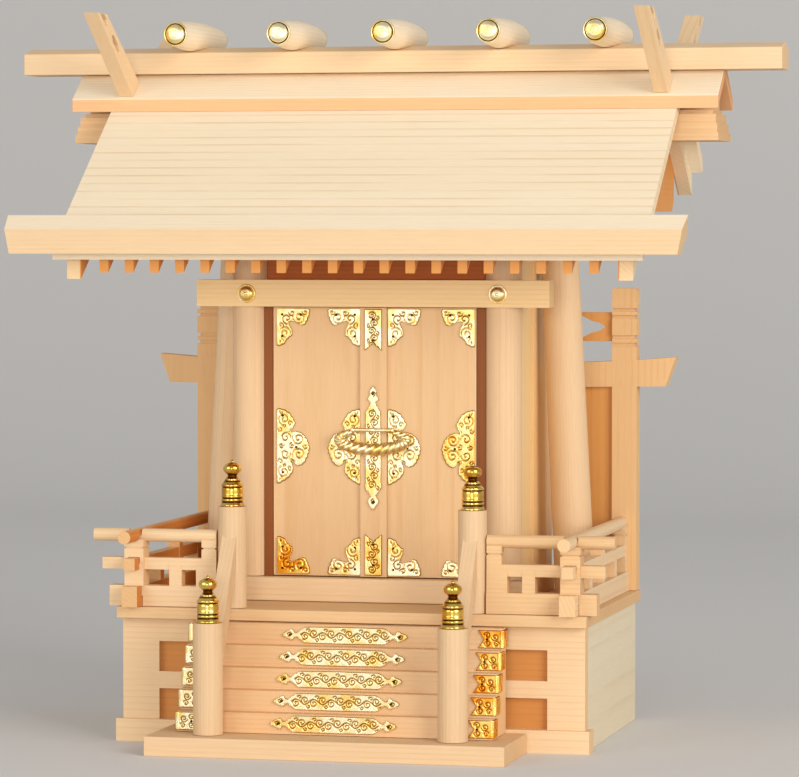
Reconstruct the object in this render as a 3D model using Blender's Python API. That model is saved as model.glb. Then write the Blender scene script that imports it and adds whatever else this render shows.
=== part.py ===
"""Kamidana: a miniature shinmei-style shrine of pale hinoki, 500 mm across its ridge beam.

Metres, +Z up. X runs to the right, the stair faces -Y, and the shrine stands on Z = 0.
Depths are worked out from the front of the base box (Y = 0), and one empty at the end
moves everything so that the world origin is the middle of the shrine's footprint box.
Run with: blender --background --python part.py
"""
import math

import bmesh
import bpy
from mathutils import Matrix, Vector

MM = 0.001
GAP = 0.3 * MM            # clearance between two pieces that touch
EDGE = 0.35 * MM          # planed corner on the boards and beams

# Base box, veranda floor and the platform in front
BASE_HALF = 147.0 * MM
BASE_DEPTH = 176.0 * MM
BASE_BOARD = 6.0 * MM
SILL_RETURN = 3.4 * MM    # how far the sill runs past the base's sides
SILL_NOSE = 4.7 * MM
SILL_HEIGHT = 14.0 * MM
FRAME_THICK = 10.0 * MM
PANEL_SETBACK = 4.0 * MM
PANEL_THICK = 3.0 * MM
CORNER_POST = 23.5 * MM
TOP_RAIL_HEIGHT = 14.3 * MM
MID_RAIL_LOW = 33.1 * MM
MID_RAIL_HEIGHT = 10.6 * MM
BASE_HEIGHT = 77.0 * MM
FLOOR_RETURN = 2.0 * MM   # how far the floor runs past the base's sides
FLOOR_NOSE = 7.6 * MM
FLOOR_TAIL = 8.3 * MM     # how far the floor runs past the back of the base
FLOOR_THICK = 7.1 * MM
PLATFORM_HALF = 111.8 * MM
PLATFORM_DEPTH = 67.8 * MM
PLATFORM_HEIGHT = 12.0 * MM

# Stair and its rails
STEPS = 5
STEP_HALF = 98.6 * MM
STEP_RUN = 7.3 * MM
TOP_STEP_OUT = 10.6 * MM  # top step in front of the sill's nose
NEWEL_X = 76.4 * MM
NEWEL_R = 9.2 * MM
LOWER_NEWEL_UP = 68.3 * MM    # above the platform
UPPER_NEWEL_UP = 63.2 * MM    # above the veranda floor
NEWEL_SIDES = 28
FINIAL_R = 7.3 * MM
FINIAL_HEIGHT = 29.0 * MM
HANDRAIL_WIDTH = 9.0 * MM
HANDRAIL_HEIGHT = 11.0 * MM
HANDRAIL_UP = 51.1 * MM   # its head above the veranda floor

# Balustrade round the veranda
RAIL_INSET = 10.5 * MM    # line of the side runs in from the floor's edge
TOP_RAIL_R = 4.1 * MM
TOP_RAIL_UP = 44.4 * MM   # middle of the round rail above the floor
TOP_RAIL_OUT = 27.0 * MM  # how far each rail runs past the corner
BEAM_RAIL_UP = 23.2 * MM
BEAM_RAIL_HEIGHT = 7.3 * MM
BEAM_RAIL_WIDTH = 7.0 * MM
BEAM_RAIL_OUT = 21.3 * MM
GROUND_RAIL_HEIGHT = 12.8 * MM
GROUND_RAIL_WIDTH = 10.0 * MM
GROUND_RAIL_OUT = 16.2 * MM
RAIL_POST = 12.4 * MM
RAIL_STRUT = 8.0 * MM
NEWEL_STRUT = 13.0 * MM   # the strut beside the newel, below the beam rail
NEWEL_STRUT_HEAD = 9.4 * MM
POST_SEAT = 0.6           # the posts' heads reach this share of its radius into the top rail
NECK_UP = 36.2 * MM       # groove under the head of each post
NECK_HEIGHT = 1.1 * MM
NECK_DEPTH = 0.9 * MM
BEAM_STUB_OUT = 16.1 * MM # how far the side beam rail runs past the corner post's middle
SIDE_OPENINGS = 4

# Body: threshold, columns, walls, lintel
BODY_FRONT = 50.0 * MM
THRESHOLD_OUT = 17.9 * MM # how far it runs past the columns' middles
THRESHOLD_THICK = 8.0 * MM
BODY_FLOOR_HEIGHT = 14.7 * MM
COLUMN_INSET = 34.7 * MM  # columns in from the feet of the leaning ridge columns
COLUMN_Y = 67.0 * MM
COLUMN_R = 11.5 * MM
BACK_COLUMN_Y = 164.0 * MM
COLUMN_SIDES = 40
WALL_PAST = 9.5 * MM      # outer face of the side walls past the columns' middles
WALL_THICK = 7.6 * MM
WALL_GROOVE_Y = 103.0 * MM
WALL_GROOVE_WIDTH = 12.0 * MM
WALL_GROOVE_DEPTH = 3.0 * MM
BACK_WALL_THICK = 6.0 * MM
CEILING_Z = 272.0 * MM
CEILING_THICK = 5.0 * MM
LINTEL_OUT = 31.9 * MM
LINTEL_LOW = 270.8 * MM
LINTEL_HEIGHT = 16.9 * MM
LINTEL_FRONT = 52.8 * MM
LINTEL_DEPTH = 13.7 * MM
FRIEZE_THICK = 5.0 * MM

# Doors
DOOR_INSET = 16.3 * MM    # hinge line in from the columns' middles
DOOR_FRONT = 61.0 * MM
DOOR_THICK = 5.0 * MM
DOOR_GAP = 0.5 * MM
BATTEN_HALF = 8.5 * MM
BATTEN_THICK = 2.6 * MM
JAMB_DEPTH = 9.0 * MM
LOCK_HALF = 22.0 * MM
LOCK_BAR_Z = 191.6 * MM
LOCK_BAR_R = 1.5 * MM
LOCK_DROP = 9.5 * MM
LOCK_BODY_R = 3.1 * MM

# Roof
RIDGE_Y = 131.5 * MM
RIDGE_TOP = 416.9 * MM    # upper arris of the two roof boards
PITCH = math.atan(0.705)
ROOF_HALF = 185.7 * MM
ROOF_BOARD = 7.0 * MM
ROOF_FOOT_Y = -21.0 * MM
ROOF_TAIL_Y = 205.0 * MM
RAFTERS = 20
RAFTER_WIDTH = 5.8 * MM
RAFTER_DEEP = 10.6 * MM
RAFTER_FIRST_X = 154.5 * MM
RAFTER_TIP_Y = -14.0 * MM
RAFTER_TAIL_SETBACK = 3.0 * MM
EAVE_HALF = 213.6 * MM
EAVE_SLANT = 4.6 * MM     # the eave board's ends are cut in by this much at the foot
EAVE_FRONT_Y = -36.3 * MM
EAVE_TOP_Z = 319.7 * MM
EAVE_LOW_Z = 304.6 * MM
EAVE_TOP_WIDTH = 15.0 * MM
BARGE_IN = 169.3 * MM
BARGE_THICK = 9.2 * MM
BARGE_DEEP = 17.0 * MM    # front arm, measured upright
BARGE_TAIL_DEEP = 14.0 * MM
BARGE_TAIL_Y = 206.0 * MM
GABLE_IN = 163.0 * MM
GABLE_LOW_Z = 331.0 * MM
GABLE_HALF = 56.5 * MM
GABLE_CHAMFER = 7.0 * MM
PLATE_DEPTH = 13.0 * MM
PLATE_HEIGHT = 14.0 * MM
BACK_PLATE_INSET = 13.0 * MM
# Half depth, foot and half length of each layer of the purlin
PURLIN_STEPS = ((25.8, 375.5, 211.4), (23.9, 380.6, 210.4), (21.6, 386.3, 209.2),
                (18.8, 392.2, 207.0))
PURLIN_HEAD_HALF = 7.0 * MM
RIDGE_COLUMN_INSET = 21.7 * MM  # foot of the leaning column in from the side rail
RIDGE_COLUMN_LEAN = 0.0485
RIDGE_COLUMN_Y = 126.5 * MM
RIDGE_COLUMN_FOOT_R = 13.0 * MM
RIDGE_COLUMN_HEAD_R = 11.8 * MM

# Ridge cap, ridge beam, crossed finial boards and barrel logs
CAP_HALF = 212.0 * MM
CAP_EDGE_Y = 100.6 * MM
CAP_THICK = 8.4 * MM      # measured upright
BEAM_HALF = 250.0 * MM
BEAM_DEPTH = 30.3 * MM
BEAM_LOW = 420.4 * MM
BEAM_SIDE = 13.7 * MM
BEAM_PEAK = 3.6 * MM
LOGS = 5
LOG_PITCH = 68.4 * MM
LOG_HALF_LENGTH = 47.0 * MM
LOG_END_R = 7.7 * MM
LOG_MID_R = 9.8 * MM
LOG_Z = 444.6 * MM
CHIGI_IN = 171.0 * MM
CHIGI_THICK = 9.6 * MM
CHIGI_TIP_Z = 456.0 * MM
CHIGI_BACK_LONGER = 3.9 * MM  # the arms at the back stand this much higher
CHIGI_PITCH = math.radians(33.6)
CHIGI_TIP_BREADTH = 11.2 * MM
CHIGI_NOTCH = (13.0 * MM, 2.3 * MM)           # depth along the arm, half width
CHIGI_SLOT = (24.0 * MM, 43.0 * MM, 2.4 * MM)  # first and last distance from the tip, half width
CHIGI_SLOT_POINT = 4.0 * MM
CHIGI_FOOT_SETBACK = 1.9 * MM

# Side screens beside the body
SCREEN_BACK_INSET = 0.3 * MM  # its back in from the floor's back edge
SCREEN_DEPTH = 12.0 * MM
SCREEN_INSET = 0.8 * MM   # post in from the floor's edge
SCREEN_POST = 16.3 * MM
SCREEN_POST_CHAMFER = 1.4 * MM
SCREEN_TOP = 281.3 * MM
SCREEN_BANDS = ((243.5, 250.7), (261.7, 268.3))
SCREEN_BAND_DEPTH = 1.6 * MM
SCREEN_BAND_RIB = 2.4 * MM  # raised strip left in the middle of each band
SCREEN_BEAM_LOW = 216.7 * MM
SCREEN_BEAM_HEIGHT = 18.0 * MM
SCREEN_BEAM_OUT = 25.8 * MM
SCREEN_BEAM_RISE = 2.1 * MM
SCREEN_BEAM_CUT = 7.0 * MM
SCREEN_BEAM_SLOPE = 2.6 * MM   # the beam is this much lower at the body than at its post
SCREEN_PANEL = 5.0 * MM
BRACKET_LOW = 246.7 * MM
BRACKET_HIGH = 265.5 * MM
BRACKET_THICK = 5.0 * MM
BRACKET_WEB = 5.2 * MM      # what the pointed mouth leaves of the bracket beside the post
# Half of the mouth: share of its depth from the free end, share of the half height there
BRACKET_MOUTH = ((0.0, 0.82), (0.52, 0.78), (0.62, 0.6), (0.72, 0.42), (0.9, 0.26), (1.0, 0.0))

SILL_HALF = BASE_HALF + SILL_RETURN
FLOOR_HALF = BASE_HALF + FLOOR_RETURN
RAIL_X = FLOOR_HALF - RAIL_INSET
SCREEN_POST_IN = FLOOR_HALF - SCREEN_INSET - SCREEN_POST
SCREEN_BEAM_TIP = SCREEN_POST_IN + SCREEN_POST + SCREEN_BEAM_OUT
RIDGE_COLUMN_FOOT_X = RAIL_X - RIDGE_COLUMN_INSET
BACK_PLATE_HALF = GABLE_IN - BACK_PLATE_INSET
SLOPE = math.tan(PITCH)
FLOOR_TOP = BASE_HEIGHT + GAP + FLOOR_THICK
BODY_BASE = FLOOR_TOP + GAP
BODY_SILL = BODY_BASE + BODY_FLOOR_HEIGHT
ROOF_UPRIGHT = ROOF_BOARD / math.cos(PITCH)
RAFTER_UPRIGHT = RAFTER_DEEP / math.cos(PITCH)
RISE = (BASE_HEIGHT - PLATFORM_HEIGHT) / STEPS
LOWER_NEWEL_TOP = PLATFORM_HEIGHT + LOWER_NEWEL_UP
UPPER_NEWEL_TOP = FLOOR_TOP + UPPER_NEWEL_UP
HANDRAIL_TOP = FLOOR_TOP + HANDRAIL_UP
TOP_RAIL_Z = FLOOR_TOP + TOP_RAIL_UP
BEAM_RAIL_LOW = FLOOR_TOP + BEAM_RAIL_UP
NECK_LOW = FLOOR_TOP + NECK_UP
COLUMN_X = RIDGE_COLUMN_FOOT_X - COLUMN_INSET
THRESHOLD_HALF = COLUMN_X + THRESHOLD_OUT
WALL_OUT = COLUMN_X + WALL_PAST
LINTEL_HALF = COLUMN_X + LINTEL_OUT
DOOR_HALF = COLUMN_X - DOOR_INSET
SCREEN_Y = BASE_DEPTH + FLOOR_TAIL - SCREEN_BACK_INSET - SCREEN_DEPTH
RAIL_Y = -FLOOR_NOSE + NEWEL_R
LOWER_NEWEL_Y = -SILL_NOSE - TOP_STEP_OUT - (STEPS - 1) * STEP_RUN - NEWEL_R - GAP
PURLIN_FOOT_HALF = PURLIN_STEPS[0][0] * MM
PURLIN_FOOT_Z = PURLIN_STEPS[0][1] * MM


def wood_material(name, colour, roughness, metallic=0.0):
    material = bpy.data.materials.new(name)
    material.use_nodes = True
    shader = material.node_tree.nodes["Principled BSDF"]
    shader.inputs["Base Color"].default_value = (*colour, 1.0)
    shader.inputs["Roughness"].default_value = roughness
    shader.inputs["Metallic"].default_value = metallic
    return material


def new_object(name, mesh, material):
    thing = bpy.data.objects.new(name, mesh)
    mesh.materials.append(material)
    bpy.context.scene.collection.objects.link(thing)
    return thing


def mesh_from(verts, faces, name="shape"):
    """A closed mesh with its faces turned outwards."""
    bm = bmesh.new()
    points = [bm.verts.new(v) for v in verts]
    for face in faces:
        bm.faces.new([points[i] for i in face])
    bmesh.ops.recalc_face_normals(bm, faces=bm.faces)
    mesh = bpy.data.meshes.new(name)
    bm.to_mesh(mesh)
    bm.free()
    return mesh


def block(x0, x1, y0, y1, z0, z1):
    """Mesh of a box between two corners, given in any order."""
    xs, ys, zs = sorted((x0, x1)), sorted((y0, y1)), sorted((z0, z1))
    verts = [(x, y, z) for x in xs for y in ys for z in zs]
    faces = [(0, 1, 3, 2), (4, 6, 7, 5), (0, 4, 5, 1), (2, 3, 7, 6), (0, 2, 6, 4), (1, 5, 7, 3)]
    return mesh_from(verts, faces)


def extrude(outline, low, high, axis):
    """Mesh of a flat outline carried along one axis from low to high.

    The outline's two numbers are the remaining coordinates in X, Y, Z order.
    """
    def place(point, along):
        a, b = point
        return {"x": (along, a, b), "y": (a, along, b), "z": (a, b, along)}[axis]

    count = len(outline)
    verts = [place(p, low) for p in outline] + [place(p, high) for p in outline]
    faces = [tuple(range(count)), tuple(range(2 * count - 1, count - 1, -1))]
    faces += [(i, (i + 1) % count, count + (i + 1) % count, count + i) for i in range(count)]
    return mesh_from(verts, faces)


def turn(profile, sides, centre=(0.0, 0.0, 0.0), turned=None):
    """Mesh turned about +Z from (radius, height) pairs, closed with a flat or a point."""
    verts, rings = [], []
    for radius, height in profile:
        if radius < 1e-7:
            rings.append([len(verts)])
            verts.append(Vector((0.0, 0.0, height)))
            continue
        start = len(verts)
        for k in range(sides):
            angle = 2.0 * math.pi * k / sides
            verts.append(Vector((radius * math.cos(angle), radius * math.sin(angle), height)))
        rings.append(list(range(start, start + sides)))
    faces = []
    for low, high in zip(rings, rings[1:]):
        for k in range(sides):
            n = (k + 1) % sides
            if len(low) == 1:
                faces.append((low[0], high[k], high[n]))
            elif len(high) == 1:
                faces.append((low[k], low[n], high[0]))
            else:
                faces.append((low[k], low[n], high[n], high[k]))
    for ring in (rings[0], rings[-1]):
        if len(ring) > 1:
            faces.append(tuple(ring))
    matrix = Matrix.Translation(centre) @ (turned or Matrix.Identity(4))
    return mesh_from([matrix @ v for v in verts], faces)


def combined(base, others, operation):
    """Base with every other mesh united or cut away, by Blender's Boolean modifier."""
    if not others:
        return base
    body = bpy.data.objects.new("body", base)
    bpy.context.scene.collection.objects.link(body)
    tools = []
    for mesh in others:
        tool = bpy.data.objects.new("tool", mesh)
        bpy.context.scene.collection.objects.link(tool)
        modifier = body.modifiers.new("join", "BOOLEAN")
        modifier.operation = operation
        modifier.solver = "EXACT"
        modifier.object = tool
        tools.append(tool)
    graph = bpy.context.evaluated_depsgraph_get()
    result = bpy.data.meshes.new_from_object(body.evaluated_get(graph))
    for thing in [body] + tools:
        bpy.data.objects.remove(thing)
    return result


def united(base, others):
    return combined(base, others, "UNION")


def carved(base, others):
    return combined(base, others, "DIFFERENCE")


def planed(thing, width=EDGE):
    """Small flat on each sharp corner, as a plane leaves it."""
    bevel = thing.modifiers.new("planed corner", "BEVEL")
    bevel.width = width
    bevel.segments = 1
    bevel.limit_method = "ANGLE"
    bevel.angle_limit = math.radians(40)
    return thing


def rounded(thing, angle=40.0):
    thing.data.shade_smooth()
    thing.data.set_sharp_from_angle(angle=math.radians(angle))
    return thing


def sides():
    """The two mirrored halves: name ending and the sign of X."""
    return (("left", -1.0), ("right", 1.0))


def roof_top(y):
    """Height of the roof boards' upper face at depth y."""
    return RIDGE_TOP - SLOPE * abs(y - RIDGE_Y)


def roof_under(y):
    return roof_top(y) - ROOF_UPRIGHT


def rafter_under(y):
    return roof_under(y) - RAFTER_UPRIGHT


def build_base(wood):
    """Platform, panelled base box and the veranda floor on it."""
    front = -SILL_NOSE
    platform = block(-PLATFORM_HALF, PLATFORM_HALF, front - GAP - PLATFORM_DEPTH, front - GAP,
                     0.0, PLATFORM_HEIGHT)
    planed(new_object("stair_platform", platform, wood))

    sill = block(-SILL_HALF, SILL_HALF, front, FRAME_THICK, 0.0, SILL_HEIGHT)
    inner = BASE_HALF - CORNER_POST
    bite = GAP
    parts = [block(-BASE_HALF, BASE_HALF, 0.0, FRAME_THICK, BASE_HEIGHT - TOP_RAIL_HEIGHT, BASE_HEIGHT),
             block(-inner - bite, inner + bite, 0.0, FRAME_THICK, MID_RAIL_LOW,
                   MID_RAIL_LOW + MID_RAIL_HEIGHT),
             block(-inner - bite, inner + bite, PANEL_SETBACK, PANEL_SETBACK + PANEL_THICK,
                   SILL_HEIGHT - bite, BASE_HEIGHT - TOP_RAIL_HEIGHT + bite)]
    for _, side in sides():
        parts.append(block(side * inner, side * BASE_HALF, 0.0, FRAME_THICK, SILL_HEIGHT - bite,
                           BASE_HEIGHT - TOP_RAIL_HEIGHT + bite))
    new_object("base_front", united(sill, parts), wood)

    for ending, side in sides():
        board = block(side * (BASE_HALF - BASE_BOARD), side * BASE_HALF, FRAME_THICK + GAP, BASE_DEPTH,
                      0.0, BASE_HEIGHT)
        planed(new_object("base_side_" + ending, board, wood))
    reach = BASE_HALF - BASE_BOARD - GAP
    planed(new_object("base_back", block(-reach, reach, BASE_DEPTH - BASE_BOARD, BASE_DEPTH, 0.0,
                                         BASE_HEIGHT), wood))
    floor = block(-FLOOR_HALF, FLOOR_HALF, -FLOOR_NOSE, BASE_DEPTH + FLOOR_TAIL,
                  BASE_HEIGHT + GAP, FLOOR_TOP)
    planed(new_object("veranda_floor", floor, wood))


def build_stair(wood):
    """One flight of solid steps that stands on the platform against the sill."""
    back = -SILL_NOSE - GAP
    outline = [(back, PLATFORM_HEIGHT + GAP)]
    front = back + GAP - TOP_STEP_OUT - (STEPS - 1) * STEP_RUN
    height = PLATFORM_HEIGHT
    for _ in range(STEPS):
        outline.append((front, max(height, PLATFORM_HEIGHT + GAP)))
        height += RISE
        outline.append((front, height - GAP))
        front += STEP_RUN
    outline.append((back, height - GAP))
    new_object("stair", extrude(outline, -STEP_HALF, STEP_HALF, "x"), wood)


def finial_profile():
    """Onion-headed post cap: fluted sleeve, neck ring, bulb and point."""
    r, h = FINIAL_R, FINIAL_HEIGHT
    shares = ((0.0, 0.0), (0.97, 0.0), (1.0, 0.02), (0.87, 0.08), (0.89, 0.12), (0.80, 0.16),
              (0.87, 0.185), (0.79, 0.20), (0.84, 0.22), (0.83, 0.37), (0.88, 0.39), (0.79, 0.415),
              (0.85, 0.45), (0.82, 0.48), (0.58, 0.53), (0.42, 0.585), (0.33, 0.64), (0.50, 0.69),
              (0.72, 0.745), (0.73, 0.80), (0.50, 0.86), (0.24, 0.92), (0.10, 0.96), (0.0, 1.0))
    return [(a * r, b * h) for a, b in shares]


def build_stair_rails(wood, brass):
    """Round newels above and below, joined by a steep handrail, each with its brass cap."""
    foot = PLATFORM_HEIGHT + GAP
    for ending, side in sides():
        x = side * NEWEL_X
        lower = turn([(NEWEL_R, foot), (NEWEL_R, LOWER_NEWEL_TOP)], NEWEL_SIDES, (x, LOWER_NEWEL_Y, 0.0))
        upper = turn([(NEWEL_R - GAP, FLOOR_TOP + GAP), (NEWEL_R - GAP, UPPER_NEWEL_TOP)], NEWEL_SIDES,
                     (x, RAIL_Y, 0.0))
        drop = RISE / STEP_RUN
        start, end = RAIL_Y - NEWEL_R / 2, LOWER_NEWEL_Y + NEWEL_R / 2
        upright = HANDRAIL_HEIGHT * math.hypot(1.0, drop)
        low = HANDRAIL_TOP - (start - end) * drop
        outline = [(start, HANDRAIL_TOP), (start, HANDRAIL_TOP - upright), (end, low - upright), (end, low)]
        rail = extrude(outline, x - HANDRAIL_WIDTH / 2, x + HANDRAIL_WIDTH / 2, "x")
        new_object("stair_rail_" + ending, united(lower, [rail, upper]), wood)
        for level, y, z in (("lower", LOWER_NEWEL_Y, LOWER_NEWEL_TOP), ("upper", RAIL_Y, UPPER_NEWEL_TOP)):
            cap = turn(finial_profile(), 20, (x, y, z + GAP))
            rounded(new_object("finial_" + level + "_" + ending, cap, brass))


def build_balustrade(wood):
    """Veranda rails whose ends run past the corner, half-lapped where they cross."""
    ground = FLOOR_TOP + GAP
    ground_top = ground + GROUND_RAIL_HEIGHT
    beam_top = BEAM_RAIL_LOW + BEAM_RAIL_HEIGHT
    post_top = TOP_RAIL_Z - TOP_RAIL_R * POST_SEAT
    lap = BEAM_RAIL_LOW + BEAM_RAIL_HEIGHT / 2
    along_x = Matrix.Rotation(math.radians(90), 4, "Y")
    along_y = Matrix.Rotation(math.radians(-90), 4, "X")
    newel_face = NEWEL_X + NEWEL_R

    def headed(x, y, half_x, half_y, low):
        """Post up to the top rail: shaft, narrower neck and head, which overlap by a hair."""
        neck_top = NECK_LOW + NECK_HEIGHT
        return [block(x - half_x, x + half_x, y - half_y, y + half_y, low, NECK_LOW),
                block(x - half_x + NECK_DEPTH, x + half_x - NECK_DEPTH, y - half_y + NECK_DEPTH,
                      y + half_y - NECK_DEPTH, NECK_LOW - GAP, neck_top + GAP),
                block(x - half_x, x + half_x, y - half_y, y + half_y, neck_top, post_top)]

    for ending, side in sides():
        # Front run, from the newel past the corner
        def span(x0, x1, half, z0, z1):
            return block(side * x0, side * x1, RAIL_Y - half, RAIL_Y + half, z0, z1)

        start = newel_face + GAP
        length = RAIL_X + TOP_RAIL_OUT - start
        rail = turn([(TOP_RAIL_R, 0.0), (TOP_RAIL_R, length)], 16,
                    (start if side > 0 else -start - length, RAIL_Y, TOP_RAIL_Z), along_x)
        parts = [span(start, RAIL_X + BEAM_RAIL_OUT, BEAM_RAIL_WIDTH / 2, BEAM_RAIL_LOW, beam_top),
                 span(start, RAIL_X + GROUND_RAIL_OUT, GROUND_RAIL_WIDTH / 2, ground, ground_top),
                 span(start, start + NEWEL_STRUT, RAIL_STRUT / 2, ground_top - GAP, lap)]
        parts += headed(side * RAIL_X, RAIL_Y, RAIL_POST / 2, RAIL_POST / 2, ground_top - GAP)
        parts += headed(side * (start + NEWEL_STRUT_HEAD / 2), RAIL_Y, NEWEL_STRUT_HEAD / 2,
                        RAIL_STRUT / 2 - GAP, lap)
        middle = (start + RAIL_X) / 2
        parts.append(span(middle - RAIL_STRUT / 2, middle + RAIL_STRUT / 2, RAIL_STRUT / 2,
                          ground_top - GAP, lap))
        front_run = united(rail, parts)
        side_half = GROUND_RAIL_WIDTH / 2 + GAP
        post_half = RAIL_POST / 2 + GAP
        # The side run keeps the upper half at the two lower rails and the lower half at the top rail
        laps = [block(side * (RAIL_X - side_half), side * (RAIL_X + side_half), RAIL_Y - RAIL_POST,
                      RAIL_Y + RAIL_POST, ground - GAP, ground + GROUND_RAIL_HEIGHT / 2)]
        beam_half = BEAM_RAIL_WIDTH / 2 + GAP
        laps.append(block(side * (RAIL_X - beam_half), side * (RAIL_X + beam_half), RAIL_Y - RAIL_POST,
                          RAIL_Y + RAIL_POST, lap, beam_top + GAP))
        top_half = TOP_RAIL_R + GAP
        laps.append(block(side * (RAIL_X - top_half), side * (RAIL_X + top_half), RAIL_Y - 2 * TOP_RAIL_R,
                          RAIL_Y + 2 * TOP_RAIL_R, TOP_RAIL_Z, TOP_RAIL_Z + 2 * TOP_RAIL_R))
        new_object("balustrade_front_" + ending, carved(front_run, laps), wood)

        # Side run, from its projecting front end back to the screen post
        def run(y0, y1, half, z0, z1):
            return block(side * RAIL_X - half, side * RAIL_X + half, y0, y1, z0, z1)

        back = SCREEN_Y - GAP
        length = back - (RAIL_Y - TOP_RAIL_OUT)
        rail = turn([(TOP_RAIL_R, 0.0), (TOP_RAIL_R, length)], 16,
                    (side * RAIL_X, RAIL_Y - TOP_RAIL_OUT, TOP_RAIL_Z), along_y)
        parts = [run(RAIL_Y - BEAM_STUB_OUT, back, BEAM_RAIL_WIDTH / 2, BEAM_RAIL_LOW, beam_top),
                 run(RAIL_Y - GROUND_RAIL_OUT, back, GROUND_RAIL_WIDTH / 2, ground, ground_top)]
        pitch = (back - RAIL_Y) / SIDE_OPENINGS
        for k in range(1, SIDE_OPENINGS):
            y = RAIL_Y + k * pitch
            if 2 * k == SIDE_OPENINGS:
                parts += headed(side * RAIL_X, y, RAIL_STRUT / 2, RAIL_STRUT / 2, ground_top - GAP)
            else:
                parts.append(run(y - RAIL_STRUT / 2, y + RAIL_STRUT / 2, RAIL_STRUT / 2,
                                 ground_top - GAP, lap))
        parts += headed(side * RAIL_X, back - RAIL_STRUT / 2, RAIL_STRUT / 2, RAIL_STRUT / 2,
                        ground_top - GAP)
        side_run = united(rail, parts)

        def corner_cut(z0, z1):
            return block(side * RAIL_X - RAIL_POST, side * RAIL_X + RAIL_POST, RAIL_Y - post_half,
                         RAIL_Y + post_half, z0, z1)

        laps = [corner_cut(ground + GROUND_RAIL_HEIGHT / 2 - GAP, ground_top + GAP),
                corner_cut(BEAM_RAIL_LOW - GAP, lap + GAP),
                corner_cut(post_top - 2 * TOP_RAIL_R, TOP_RAIL_Z + GAP)]
        new_object("balustrade_side_" + ending, carved(side_run, laps), wood)


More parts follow.
